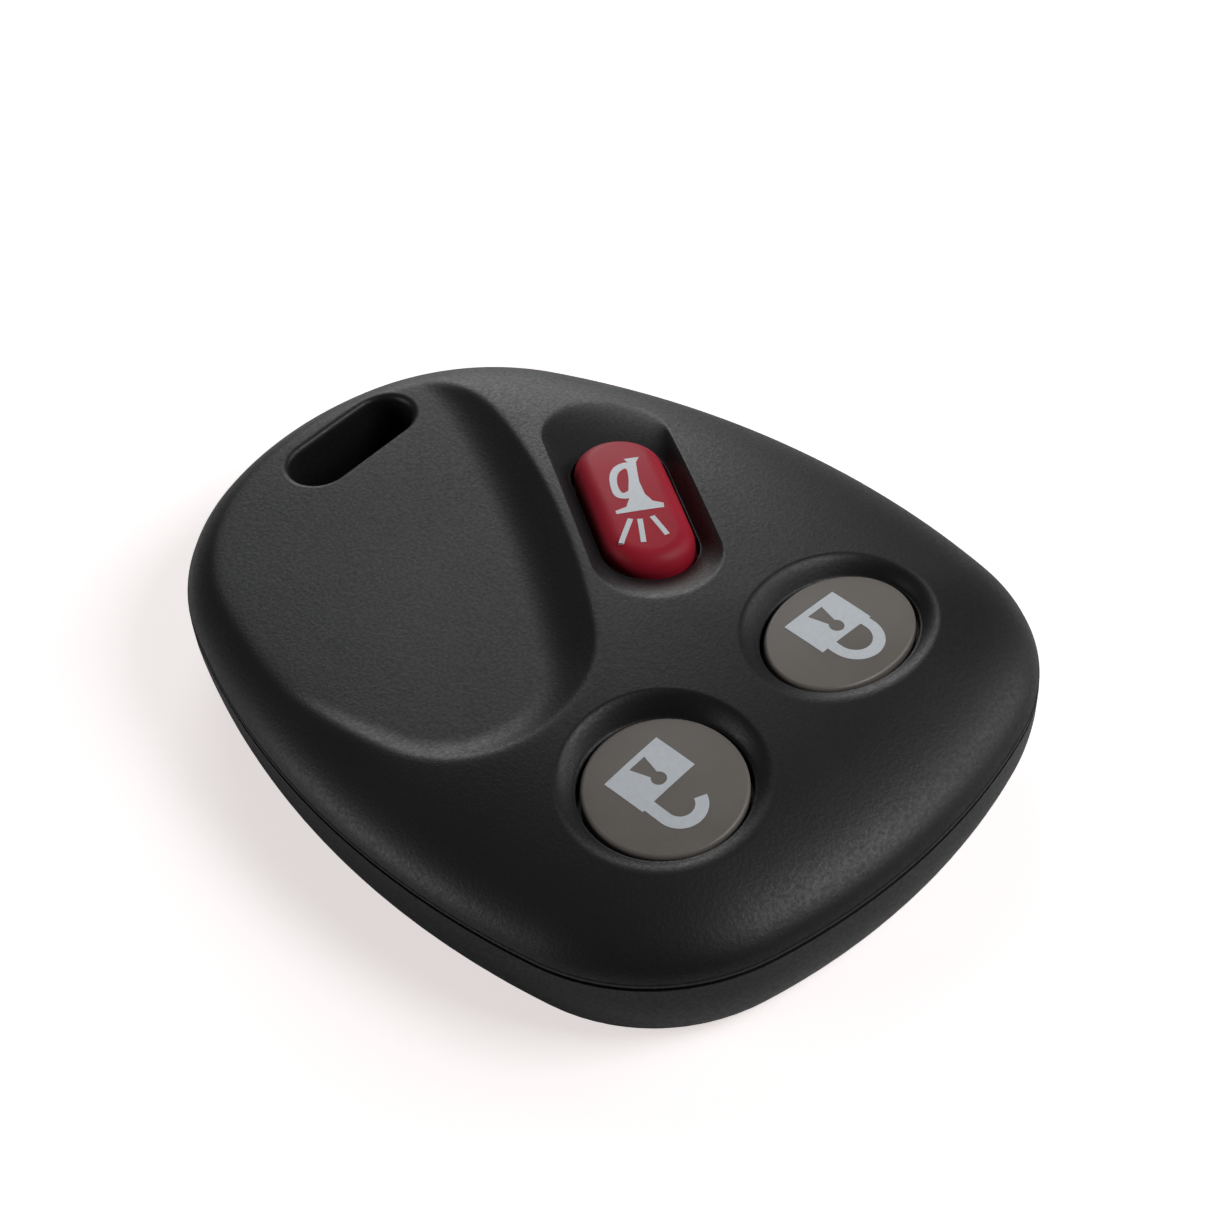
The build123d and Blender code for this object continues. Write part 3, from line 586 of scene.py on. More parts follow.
def trimmed(points, triangles, reach, onto, step):
    """Keeps a flat mesh where reach(x, y) is positive: points close to the line are moved onto it, and
    triangles that cross it are cut."""
    value = reach(points[:, 0], points[:, 1])
    close = np.abs(value) < 0.3 * step
    points = points.copy()
    points[close] = np.stack(onto(points[close, 0], points[close, 1]), axis=1)
    value = np.where(close, 0.0, value)
    here = value[triangles]
    positive, negative = (here > 0).sum(axis=1), (here < 0).sum(axis=1)
    kept = triangles[(negative == 0) & (positive > 0)]
    cut = (negative > 0) & (positive > 0)
    corners, signs = triangles[cut], here[cut]
    lone_negative = (signs < 0).sum(axis=1) == 1
    lead = np.where(lone_negative, np.argmin(signs, axis=1), np.argmax(signs, axis=1))
    turn = (lead[:, None] + np.arange(3)) % 3
    corners = np.take_along_axis(corners, turn, axis=1)

    def crossing(one, two):
        """The points where edges cross the line, by the values at their ends, moved onto it."""
        in_order = value[one] < value[two]
        low, high = np.where(in_order, one, two), np.where(in_order, two, one)
        share = (value[low] / (value[low] - value[high]))[:, None]
        spot = points[low] + share * (points[high] - points[low])
        return np.stack(onto(spot[:, 0], spot[:, 1]), axis=1)

    a, b, c = corners.T
    ab, ac = crossing(a, b), crossing(a, c)
    count = len(points)
    p, q = np.arange(len(a)) + count, np.arange(len(a)) + count + len(a)
    points = np.concatenate([points, ab, ac])
    one, two = lone_negative, ~lone_negative
    new = [
        np.stack([p[one], b[one], c[one]], 1),
        np.stack([p[one], c[one], q[one]], 1),
        np.stack([a[two], p[two], q[two]], 1),
    ]
    triangles = np.concatenate([kept] + new)
    keys = np.round(points * 1e6).astype(np.int64)
    _, first, where = np.unique(keys, axis=0, return_index=True, return_inverse=True)
    triangles = where.ravel()[triangles]
    a, b, c = triangles.T
    return points[first], triangles[(a != b) & (b != c) & (a != c)]


def open_edges(triangles):
    """The edges that belong to one triangle only, in the direction that the triangle runs them."""
    edges = np.concatenate([triangles[:, [0, 1]], triangles[:, [1, 2]], triangles[:, [2, 0]]])
    _, first, counts = np.unique(np.sort(edges, axis=1), axis=0, return_index=True, return_counts=True)
    return edges[first[counts == 1]]


def plan_mesh(step, rim_inset, holes):
    """A flat mesh inside the case outline at an inset and outside each hole, and the closed rows of points
    along the outline and the holes."""
    points, triangles = lattice(step)

    def rim_reach(x, y):
        return nearest_arc(CASE, x, y)[0] - rim_inset

    def rim_onto(x, y):
        return moved_inset(CASE, x, y, rim_inset)

    points, triangles = trimmed(points, triangles, rim_reach, rim_onto, step)
    for hole in holes:

        def hole_onto(x, y, hole=hole):
            return hole.carried(x, y, hole)

        points, triangles = trimmed(points, triangles, hole.outside, hole_onto, step)
    used = np.unique(triangles)
    renumber = np.zeros(len(points), int)
    renumber[used] = np.arange(len(used))
    points, triangles = points[used], renumber[triangles]
    edge = np.unique(open_edges(triangles))
    x, y = points[edge, 0], points[edge, 1]
    rows = []
    tests = [np.abs(rim_reach(x, y)) < 1e-3] + [np.abs(hole.outside(x, y)) < 1e-3 for hole in holes]
    middles = [DOME_CENTRE] + [hole.at for hole in holes]
    for test, middle in zip(tests, middles):
        row = edge[test]
        turn = np.arctan2(points[row, 1] - middle[1], points[row, 0] - middle[0])
        rows.append(row[np.argsort(turn)])
    return points, triangles, rows


# The top cover


def patch_rows(surface, row, frame_shape, hole, shares):
    """Rows from the loop round a seat to the hole, by matching points, with the cover's height."""
    x, y = surface.plan(row)
    inner_x, inner_y = frame_shape.carried(x, y, hole)
    rows = [row]
    for share in shares[1:]:
        px, py = x + (inner_x - x) * share, y + (inner_y - y) * share
        rows.append(surface.add(px, py, cover_z(px, py)))
    return rows


def hole_rows(surface, row, start, hole, lip):
    """Rows over a rounded lip: the margin is the lip less the lip times the sine of a turn, and the height
    drops by the lip less the lip times its cosine."""
    x, y = surface.plan(row)
    rows = [row]
    for angle in np.radians(LIP_TURNS):
        ring = hole.grown(lip * (1 - math.sin(angle)))
        px, py = start.carried(x, y, ring)
        z = cover_z(px, py) - lip * (1 - math.cos(angle))
        rows.append(surface.add(px, py, z))
    return rows


def profile_rows(surface, row, start, hole, profile):
    """Rows that follow a profile of margins and heights round a hole, kept inside the case's inner rim."""
    x, y = surface.plan(row)
    rows = [row]
    for margin, z in profile:
        px, py = held_in(*start.carried(x, y, hole.grown(margin)), HELD_INSET)
        rows.append(surface.add(px, py, z))
    return rows


def top_cover_mesh(step):
    """The whole top cover as one closed skin: outside, lips, hole walls, guides, rim and inside."""
    surface = Surface()
    holes = [HOLES["lock"], HOLES["unlock"], HOLES["panic"], SLOT_HOLE]
    frames = [
        holes[0].grown(SEAT_WIDTH + FRAME_MARGIN), holes[1].grown(SEAT_WIDTH + FRAME_MARGIN),
        RECESS_RIM.grown(FRAME_MARGIN), SLOT_HOLE.grown(SLOT_LIP + SLOT_FRAME_MARGIN),
    ]
    points, triangles, rows = plan_mesh(step, RIM_INSET, frames)
    numbers = surface.add(points[:, 0], points[:, 1], cover_z(points[:, 0], points[:, 1]))
    surface.fill(numbers[triangles])

    # Shoulder and rim, drawn out from the flat mesh's edge
    rim = numbers[rows[0]]
    x, y = surface.plan(rim)
    shoulder = [rim]
    for depth in SHOULDER_ROWS:
        px, py = moved_inset(CASE, x, y, depth)
        shoulder.append(surface.add(px, py, np.minimum(dome_z(depth), cover_z(px, py))))
    for depth, height in RIM_ROWS:
        px, py = moved_inset(CASE, x, y, depth)
        shoulder.append(surface.add(px, py, RIM_Z + height))
    surface.band(shoulder[::-1])
    rim_outer = shoulder[-1]

    # Holes, their walls and the guides round them
    outlets = []
    for frame_shape, hole, row in zip(frames, holes, rows[1:]):
        is_slot = hole is SLOT_HOLE
        lip = SLOT_LIP if is_slot else HOLE_LIP
        ring = hole.grown(lip)
        shares = np.linspace(0, 1, SLOT_FRAME_ROWS if is_slot else FRAME_ROWS)
        down = patch_rows(surface, numbers[row], frame_shape, ring, shares)
        lip_rows = hole_rows(surface, down[-1], ring, hole, lip)
        profile = SLOT_PROFILE if is_slot else GUIDE_PROFILE
        wall = profile_rows(surface, lip_rows[-1], hole, hole, profile)
        surface.band(down + lip_rows[1:] + wall[1:])
        outlets.append((HeldIn(hole.grown(profile[-1][0]), HELD_INSET), wall[-1]))

    # Inside
    points, triangles, rows = plan_mesh(INSIDE_STEP, INNER_RIM_INSET, [shape for shape, _ in outlets])
    numbers = surface.add(points[:, 0], points[:, 1], roof_z(points[:, 0], points[:, 1]))
    surface.fill(numbers[triangles][:, ::-1])
    for (shape, outlet), row in zip(outlets, rows[1:]):
        surface.lace(numbers[row], outlet, shape.at)
    row = numbers[rows[0]]
    x, y = surface.plan(row)
    edge = [row]
    for inset in INNER_RIM_ROWS:
        px, py = moved_inset(CASE, x, y, inset)
        edge.append(surface.add(px, py, roof_z(px, py)))
    for inset, z in REBATE_ROWS:
        px, py = moved_inset(CASE, x, y, inset)
        edge.append(surface.add(px, py, z))
    surface.band(edge)
    surface.lace(edge[-1], rim_outer, DOME_CENTRE)

    # Posts, closed and let into the roof
    for at in POST_PLACES:
        angle = np.linspace(0, 2 * math.pi, POST_SIDES, endpoint=False)
        profile = [
            (0.0, POST_TOP_Z), (POST_RADIUS, POST_TOP_Z), (POST_RADIUS, POST_BOTTOM_Z + POST_TAPER),
            (POST_RADIUS - POST_TAPER, POST_BOTTOM_Z), (0.0, POST_BOTTOM_Z),
        ]
        rings = [surface.add(at[0] + r * np.cos(angle), at[1] + r * np.sin(angle), z) for r, z in profile]
        surface.band(rings[::-1])
    return surface


# The keypad


def polygon_outside(corners, x, y):
    """Largest distance past the lines through a convex polygon's sides; its corners run anticlockwise."""
    reach = np.full(np.shape(x), -np.inf)
    for (ax, ay), (bx, by) in zip(corners, corners[1:] + corners[:1]):
        length = math.hypot(bx - ax, by - ay)
        reach = np.maximum(reach, ((x - ax) * (by - ay) - (y - ay) * (bx - ax)) / length)
    return reach


def sheet_reach(x, y):
    """Positive inside the sheet: inside a triangle between the caps, a bridge, or a margin round each cap,
    and outside the opening under each cap."""
    lock, unlock, panic = (CAP_AT[kind] for kind in KINDS)
    middle = (lock[1] + unlock[1]) / 2
    low, high = middle - BRIDGE_WIDTH / 2, middle + BRIDGE_WIDTH / 2
    bridge = [(unlock[0], low), (lock[0], low), (lock[0], high), (unlock[0], high)]
    reach = np.maximum(-polygon_outside([unlock, lock, panic], x, y), -polygon_outside(bridge, x, y))
    for kind in KINDS:
        reach = np.maximum(reach, SHEET_MARGIN - CAPS[kind].outside(x, y))
    for kind in KINDS:
        reach = np.minimum(reach, CAPS[kind].outside(x, y) - SHEET_OPENING)
    return reach


def keypad_sheet_mesh(step):
    """The sheet as a closed slab: a grid trimmed to its outline, the same grid again below, and a wall from
    each edge on the outline."""
    points, triangles = lattice(step)

    def onto(x, y):
        """Four steps down or up the slope of the reach, each as long as the reach over the slope."""
        for _ in range(4):
            here = sheet_reach(x, y)
            slope_x = (sheet_reach(x + 0.01, y) - sheet_reach(x - 0.01, y)) / 0.02
            slope_y = (sheet_reach(x, y + 0.01) - sheet_reach(x, y - 0.01)) / 0.02
            over = here / np.maximum(slope_x**2 + slope_y**2, 0.2)
            x, y = x - over * slope_x, y - over * slope_y
        return x, y

    points, triangles = trimmed(points, triangles, sheet_reach, onto, step)
    surface = Surface()
    top = surface.add(points[:, 0], points[:, 1], SHEET_TOP_Z)
    bottom = surface.add(points[:, 0], points[:, 1], SHEET_BOTTOM_Z)
    surface.fill(top[triangles])
    surface.fill(bottom[triangles][:, ::-1])
    start, end = open_edges(triangles).T
    surface.fill(np.stack([top[start], bottom[start], bottom[end]], axis=1))
    surface.fill(np.stack([top[start], bottom[end], top[end]], axis=1))
    return surface


def cap_turns(kind):
    """Points round a cap's outline at even turns of its normal, and those turns."""
    cap = CAPS[kind]
    turn = np.linspace(0, 2 * math.pi, ROUND_POINTS, endpoint=False) + 0.01
    if isinstance(cap, Oval):
        return (*cap.placed(cap.radii[0] * np.cos(turn), cap.radii[1] * np.sin(turn)), turn)
    along = cap.half * np.sign(np.cos(turn))
    return (*cap.placed(along + cap.radius * np.cos(turn), cap.radius * np.sin(turn)), turn)


def cap_rows(surface, kind, profile):
    """Closed rows that follow a profile of margins to a cap's outline and heights."""
    cap = CAPS[kind]
    x, y, _ = cap_turns(kind)
    return [surface.add(*cap.carried(x, y, cap.grown(margin)), z) for margin, z in profile]


def nub_rows(surface, kind, profile):
    """Closed rows that follow a profile of radii and heights about a cap's middle."""
    cap = CAPS[kind]
    turn = cap_turns(kind)[2]
    along, across = np.cos(turn), np.sin(turn)
    return [surface.add(*cap.placed(radius * along, radius * across), z) for radius, z in profile]


def keypad_pad_mesh(kind):
    """The pad under a cap and its nub, as rows from the middle of the top round to the nub's end."""
    low, soft, nub = SHEET_BOTTOM_Z + PAD_EDGE, PAD_EDGE, NUB_RADIUS
    surface = Surface()
    rows = nub_rows(surface, kind, [(0.0, SHEET_TOP_Z), (nub, SHEET_TOP_Z)])
    rows += cap_rows(surface, kind, [
        (PAD_MARGIN - soft, SHEET_TOP_Z), (PAD_MARGIN, SHEET_TOP_Z - soft), (PAD_MARGIN, low + soft),
        (PAD_MARGIN - soft, low),
    ])
    rows += nub_rows(surface, kind, [
        (nub + 0.1, low), (nub, low - 0.05), (nub, NUB_BOTTOM_Z + NUB_EDGE), (nub - NUB_EDGE, NUB_BOTTOM_Z),
        (0.0, NUB_BOTTOM_Z),
    ])
    surface.band(rows[::-1])
    return surface


def keypad_web_mesh(kind):
    """The thin web between the sheet's opening and the pad. It rises from one to the other by a soft step,
    so its height tells how far along it lies."""
    share = np.linspace(0, 1, WEB_ROWS)
    margin = SHEET_OPENING + WEB_LAP + (PAD_MARGIN - SHEET_OPENING - 2 * WEB_LAP) * share
    low = WEB_LOW_Z + (WEB_HIGH_Z - WEB_LOW_Z) * soft_step(share)
    profile = list(zip(margin, low + WEB_THICKNESS)) + list(zip(margin[::-1], low[::-1]))
    surface = Surface()
    rows = cap_rows(surface, kind, profile)
    surface.band(rows + rows[:1])
    return surface


# Finishes


class Finish:
    """A node material with the helpers that every finish here uses."""

    def __init__(self, name, colour, roughness, metallic=0.0):
        self.material = bpy.data.materials.new(name)
        self.material.use_nodes = True
        self.nodes = self.material.node_tree.nodes
        self.links = self.material.node_tree.links
        self.shader = self.nodes["Principled BSDF"]
        self.shader.inputs["Base Color"].default_value = (*colour, 1.0)
        self.shader.inputs["Roughness"].default_value = roughness
        self.shader.inputs["Metallic"].default_value = metallic
        self.colour = colour
        self.place = self.nodes.new("ShaderNodeTexCoord").outputs["Object"]

    def noise(self, size, detail=2.0, roughness=0.5, stretch=None):
        """Noise with features of about this size in metres."""
        node = self.nodes.new("ShaderNodeTexNoise")
        node.inputs["Scale"].default_value = 1.0 / size
        node.inputs["Detail"].default_value = detail
        node.inputs["Roughness"].default_value = roughness
        source = self.place
        if stretch:
            mapping = self.nodes.new("ShaderNodeMapping")
            mapping.inputs["Scale"].default_value = stretch
            self.links.new(source, mapping.inputs["Vector"])
            source = mapping.outputs["Vector"]
        self.links.new(source, node.inputs["Vector"])
        return node.outputs["Fac"]

    def cells(self, size):
        """Distance to the nearest of scattered points, about this size in metres."""
        node = self.nodes.new("ShaderNodeTexVoronoi")
        node.inputs["Scale"].default_value = 1.0 / size
        self.links.new(self.place, node.inputs["Vector"])
        return node.outputs["Distance"]

    def ramp(self, value, low, high, out_low, out_high):
        """A value carried from one range to another, and held within it."""
        node = self.nodes.new("ShaderNodeMapRange")
        ends = {"From Min": low, "From Max": high, "To Min": out_low, "To Max": out_high}
        for name, number in ends.items():
            node.inputs[name].default_value = number
        self.links.new(value, node.inputs["Value"])
        return node.outputs["Result"]

    def mix(self, factor, first, second):
        """A colour between two colours or colour sockets."""
        node = self.nodes.new("ShaderNodeMix")
        node.data_type = "RGBA"
        sockets = [s for s in node.inputs if s.enabled]
        for socket, value in ((sockets[1], first), (sockets[2], second)):
            if isinstance(value, (tuple, list)):
                socket.default_value = (*value[:3], 1.0)
            else:
                self.links.new(value, socket)
        self.links.new(factor, sockets[0])
        return [s for s in node.outputs if s.enabled][0]

    def math(self, operation, first, second):
        """Arithmetic on two numbers or sockets."""
        node = self.nodes.new("ShaderNodeMath")
        node.operation = operation
        for socket, value in zip(node.inputs, (first, second)):
            if isinstance(value, (int, float)):
                socket.default_value = value
            else:
                self.links.new(value, socket)
        return node.outputs["Value"]

    def paint(self, colour):
        """Colours the surface by a socket."""
        self.links.new(colour, self.shader.inputs["Base Color"])

    def mottle(self, value, low, high, dark, light, cover=1.0):
        """Paints from one shade of the colour towards another as a value goes from low to high."""
        share = self.ramp(value, low, high, 0.0, cover)
        self.paint(self.mix(share, shade(self.colour, dark), shade(self.colour, light)))

    def gloss(self, value):
        """Roughens the surface by a socket."""
        self.links.new(value, self.shader.inputs["Roughness"])

    def bump(self, height, strength, distance):
        """Lifts the surface by a socket, over a distance in metres."""
        node = self.nodes.new("ShaderNodeBump")
        node.inputs["Strength"].default_value = strength
        node.inputs["Distance"].default_value = distance
        self.links.new(height, node.inputs["Height"])
        self.links.new(node.outputs["Normal"], self.shader.inputs["Normal"])


def shade(colour, factor):
    """A colour made lighter or darker."""
    return tuple(min(1.0, channel * factor) for channel in colour)


def grained_plastic(name, colour, grain, roughness=0.5, speckle=0.35, depth=0.16, sheen=0.38):
    """Moulded plastic with an etched grain: noise of the grain's size lifts the surface, lightens its peaks
    and dulls its hollows, and a slow noise varies tone and gloss."""
    finish = Finish(name, colour, roughness)
    finish.shader.inputs["Specular IOR Level"].default_value = sheen
    fine = finish.noise(grain, 3.0, 0.6)
    slow = finish.noise(0.011, 2.0)
    peaks = finish.ramp(fine, 0.35, 0.68, 0.0, 1.0)
    tone = finish.mix(peaks, shade(colour, 1 - speckle), shade(colour, 1 + speckle))
    finish.paint(finish.mix(finish.ramp(slow, 0.3, 0.7, 0.0, 0.25), tone, shade(colour, 1.25)))
    grain_gloss = finish.ramp(fine, 0.3, 0.7, roughness + 0.08, roughness - 0.08)
    finish.gloss(finish.math("ADD", grain_gloss, finish.ramp(slow, 0.3, 0.7, -0.03, 0.03)))
    finish.bump(fine, depth, grain * 0.5)
    return finish.material


def satin_plastic(name, colour, roughness=0.42, sheen=0.5):
    """Smooth moulded plastic: a faint bump with soft streaks, and wear that lightens it a little."""
    finish = Finish(name, colour, roughness)
    finish.shader.inputs["Specular IOR Level"].default_value = sheen
    fine = finish.noise(0.00022, 2.0)
    slow = finish.noise(0.004, 3.0)
    finish.mottle(slow, 0.3, 0.7, 0.94, 1.07)
    finish.gloss(finish.ramp(slow, 0.3, 0.7, roughness - 0.05, roughness + 0.06))
    finish.bump(fine, 0.12, 0.00006)
    return finish.material


def printed_ink(name, colour):
    """Thick pad-printed ink: slightly uneven cover."""
    finish = Finish(name, colour, 0.45)
    fine = finish.noise(0.00035, 3.0)
    finish.mottle(fine, 0.3, 0.7, 0.96, 1.03)
    finish.bump(fine, 0.08, 0.00004)
    return finish.material


def silicone(name, colour):
    """Soft dark rubber with a bloom of dust."""
    finish = Finish(name, colour, 0.6)
    fine = finish.noise(0.0004, 4.0, 0.6)
    slow = finish.noise(0.006, 2.0)
    finish.mottle(slow, 0.35, 0.7, 1.0, 1.9, 0.6)
    finish.gloss(finish.ramp(fine, 0.3, 0.7, 0.52, 0.7))
    finish.bump(fine, 0.2, 0.00008)
    return finish.material


def solder_mask(name, colour):
    """Green board: a weave under the lacquer, and raised paler tracks. Some of the square zones round
    scattered points carry tracks along X and some along Y, and a track ends where its zone does."""
    finish = Finish(name, colour, 0.3)
    zones = finish.nodes.new("ShaderNodeTexVoronoi")
    zones.distance = "CHEBYCHEV"
    zones.inputs["Scale"].default_value = 1.0 / 0.0052
    finish.links.new(finish.place, zones.inputs["Vector"])
    pick = finish.nodes.new("ShaderNodeSeparateColor")
    finish.links.new(zones.outputs["Color"], pick.inputs["Color"])
    lines = []
    for direction in ("X", "Y"):
        bands = finish.nodes.new("ShaderNodeTexWave")
        bands.bands_direction = direction
        bands.inputs["Scale"].default_value = 300.0
        finish.links.new(finish.place, bands.inputs["Vector"])
        lines.append(finish.ramp(bands.outputs["Fac"], 0.80, 0.86, 0.0, 1.0))
    along_x = finish.math("GREATER_THAN", pick.outputs["Red"], 0.62)
    along_y = finish.math("LESS_THAN", pick.outputs["Red"], 0.34)
    first, second = finish.math("MULTIPLY", lines[0], along_x), finish.math("MULTIPLY", lines[1], along_y)
    line = finish.math("ADD", first, second)
    weave = finish.noise(0.0005, 2.0, 0.5, stretch=(1.0, 6.0, 1.0))
    base = finish.mix(finish.ramp(weave, 0.3, 0.7, 0.0, 1.0), shade(colour, 0.8), shade(colour, 1.15))
    finish.paint(finish.mix(line, base, shade(colour, 1.9)))
    finish.bump(line, 0.35, 0.00005)
    return finish.material


def plated_metal(name, colour, roughness, stretch=(1.0, 12.0, 1.0)):
    """Rolled or plated metal: fine lines from noise drawn out one way, with duller patches."""
    finish = Finish(name, colour, roughness, 1.0)
    lines = finish.noise(0.0003, 3.0, 0.6, stretch=stretch)
    patches = finish.noise(0.003, 3.0)
    finish.mottle(patches, 0.35, 0.7, 1.05, 0.8)
    finish.gloss(finish.ramp(lines, 0.3, 0.7, roughness - 0.07, roughness + 0.12))
    finish.bump(lines, 0.1, 0.00004)
    return finish.material


def moulded_body(name, colour):
    """Chip and coil bodies: matt epoxy with a fine tooth."""
    finish = Finish(name, colour, 0.55)
    fine = finish.cells(0.00018)
    finish.mottle(fine, 0.0, 0.7, 0.8, 1.5)
    finish.bump(fine, 0.25, 0.00005)
    return finish.material


def chip_ceramic(name, colour):
    """Ceramic chips: tan with a fine speckle and tooth."""
    finish = Finish(name, colour, 0.5)
    fine = finish.noise(0.0002, 3.0)
    finish.mottle(fine, 0.3, 0.7, 0.8, 1.3)
    finish.bump(fine, 0.2, 0.00004)
    return finish.material


# Settings


def colour_property(name, words, value):
    """A colour setting of three channels."""
    return FloatVectorProperty(name=name, description=words, default=value, subtype="COLOR", min=0, max=1)


class FobFinishSettings(bpy.types.PropertyGroup):
    """Colours and grain of the fob's parts"""

    case: colour_property("Case", "Charcoal plastic of both halves", (0.012, 0.012, 0.013))
    grey_cap: colour_property("Grey caps", "Lock and unlock buttons", (0.167, 0.152, 0.137))
    red_cap: colour_property("Red cap", "Panic button", (0.40, 0.014, 0.032))
    mark: colour_property("Marks", "Pale ink of the marks", (0.66, 0.70, 0.74))
    board: colour_property("Board", "Solder mask of the circuit board", (0.012, 0.085, 0.035))
    grain: FloatProperty(name="Grain", description="Size of the case's etched grain", default=0.00026,
                         min=0.00005, max=0.002, unit="LENGTH")
    case_roughness: FloatProperty(name="Case roughness", description="Dullness of the case", default=0.45,
                                  min=0.0, max=1.0, subtype="FACTOR")


class FobMeshSettings(bpy.types.PropertyGroup):
    """How finely the moulded skins are divided"""

    skin_step: FloatProperty(name="Skin step", description="Spacing of the top cover's grid",
                             default=0.25 * MM, min=0.0001, max=0.005, unit="LENGTH")


class FobStageSettings(bpy.types.PropertyGroup):
    """Camera, lamps and floor"""

    azimuth: FloatProperty(name="Azimuth", description="Direction of the camera round the fob",
                           default=math.radians(-42.941), subtype="ANGLE")
    elevation: FloatProperty(name="Elevation", description="Height angle of the camera",
                             default=math.radians(45.214), subtype="ANGLE")
    roll: FloatProperty(name="Roll", description="Turn of the picture",
                        default=math.radians(-4.595), subtype="ANGLE")
    distance: FloatProperty(name="Distance", description="From the camera to the plane it looks at",
                            default=188.471 * MM, unit="LENGTH")
    lens: FloatProperty(name="Lens", description="Focal length for a 36 mm sensor", default=85.196, min=1.0)
    lamp_watts: FloatProperty(name="Lamp power", description="Power of all lamps together",
                              default=2.45, unit="POWER")
    room_level: FloatProperty(name="Room level", description="Strength of the even light",
                              default=0.025, min=0.0)


# Stage: what the camera aims at and how far beside it, in millimetres
AIM_POINT = (0.0, -3.39, 6.4)
AIM_OFFSET = (-0.503, 3.195)
SENSOR_WIDTH = 36.0

# Soft lamps round the fob: name, bearing and height angle in degrees, share of the power
LAMPS = (
    ("right_lamp", -60, 45, 0.37),
    ("right_low_lamp", -30, 22, 0.15),
    ("back_lamp", 50, 45, 0.075),
    ("back_low_lamp", 50, 18, 0.21),
    ("left_lamp", 146, 14, 0.20),
)
LAMP_REACH = 0.45
LAMP_SIZE = 0.22
LAMP_AIM = (0.0, 0.0, 0.005)

# Floor, in metres; its glow fades between two distances from one strength to another
FLOOR_HALF = 1.5
FLOOR_Z = -0.00002
FLOOR_COLOUR = (0.82, 0.82, 0.82)
FLOOR_GLOW = (1.0, 0.925, 0.92, 1.0)
FLOOR_FADE = (0.1, 0.5, 0.67, 1.1)


# Operators


def dress(node, material):
    """Gives a CAD node its finish."""
    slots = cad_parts[node].data.materials
    slots.clear()
    slots.append(material)


def case_plastic(name, finish):
    """The grained plastic of both halves, by the settings."""
    return grained_plastic(name, finish.case[:], finish.grain, finish.case_roughness)


class FOB_OT_top_cover(bpy.types.Operator):
    """Builds the top cover's skin and puts it in place of the plain one"""

    bl_idname = "fob.top_cover"
    bl_label = "Top cover"

    def execute(self, context):
        step = context.scene.fob_mesh.skin_step / MM
        finish = context.scene.fob_finish
        cover = top_cover_mesh(step * (1)).object("top_cover_skin")
        cover.data.materials.append(case_plastic("case_top", finish))
        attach(cover, "top_half")
        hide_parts("top_cover")
        return {"FINISHED"}


class FOB_OT_bottom_cover(bpy.types.Operator):
    """Finishes the lower half of the case"""

    bl_idname = "fob.bottom_cover"
    bl_label = "Bottom cover"

    def execute(self, context):
        dress("bottom_cover", case_plastic("case_bottom", context.scene.fob_finish))
        return {"FINISHED"}


class FOB_OT_buttons(bpy.types.Operator):
    """Finishes the three caps and their marks"""

    bl_idname = "fob.buttons"
    bl_label = "Buttons"

    def execute(self, context):
        finish = context.scene.fob_finish
        grey = satin_plastic("grey_cap", finish.grey_cap[:])
        red = satin_plastic("red_cap", finish.red_cap[:], 0.5, 0.2)
        ink = printed_ink("mark_ink", finish.mark[:])
        dress("lock_button", grey)
        dress("unlock_button", grey)
        dress("panic_button", red)
        for kind in KINDS:
            dress(kind + "_symbol", ink)
        return {"FINISHED"}


class FOB_OT_keypad(bpy.types.Operator):
    """Builds the rubber keypad: its sheet, its pads and the webs that stretch between them"""

    bl_idname = "fob.keypad"
    bl_label = "Keypad"

    def execute(self, context):
        rubber = silicone("keypad_rubber", (0.035, 0.035, 0.04))
        sheet = keypad_sheet_mesh(SHEET_STEP).object("keypad_sheet")
        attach(sheet, "top_half")
        pieces = [sheet]
        for kind in KINDS:
            pad = keypad_pad_mesh(kind).object(kind + "_pad")
            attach(pad, kind + "_cap")
            web = keypad_web_mesh(kind).object(kind + "_web")
            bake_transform(web)
            pieces += [pad, web]
        for piece in pieces:
            piece.data.materials.append(rubber)
            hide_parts("silicone_keypad")
        return {"FINISHED"}


class FOB_OT_electronics(bpy.types.Operator):
    """Finishes the board and what is soldered to it"""

    bl_idname = "fob.electronics"
    bl_label = "Electronics"

    def execute(self, context):
        finish = context.scene.fob_finish
        dress("circuit_board", solder_mask("board_mask", finish.board[:]))
        dress("antenna_loop", plated_metal("loop_copper", (0.75, 0.42, 0.24), 0.35))
        black = moulded_body("moulded_black", (0.02, 0.02, 0.022))
        for node in ("switch_bases", "controller_chip", "transmitter_chip", "tuning_coil", "chip_resistors"):
            dress(node, black)
        dress("chip_capacitors", chip_ceramic("capacitor_ceramic", (0.32, 0.22, 0.13)))
        bright = plated_metal("tinned_plate", (0.66, 0.65, 0.62), 0.3)
        for node in ("switch_frames", "resonator_can", "timing_crystal", "battery_positive_clip",
                     "battery_negative_contact"):
            dress(node, bright)
        cream = satin_plastic("plunger_cream", (0.55, 0.5, 0.38))
        for kind in KINDS:
            dress(kind + "_switch_plunger", cream)
        return {"FINISHED"}


class FOB_OT_coin_cell(bpy.types.Operator):
    """Finishes the coin cell"""

    bl_idname = "fob.coin_cell"
    bl_label = "Coin cell"

    def execute(self, context):
        steel = plated_metal("cell_steel", (0.68, 0.68, 0.67), 0.28, (1.0, 1.0, 1.0))
        dress("battery_can", steel)
        dress("battery_cap", steel)
        dress("battery_gasket", silicone("cell_gasket", (0.03, 0.03, 0.032)))
        dress("battery_electrodes", moulded_body("cell_inside", (0.03, 0.03, 0.03)))
        return {"FINISHED"}


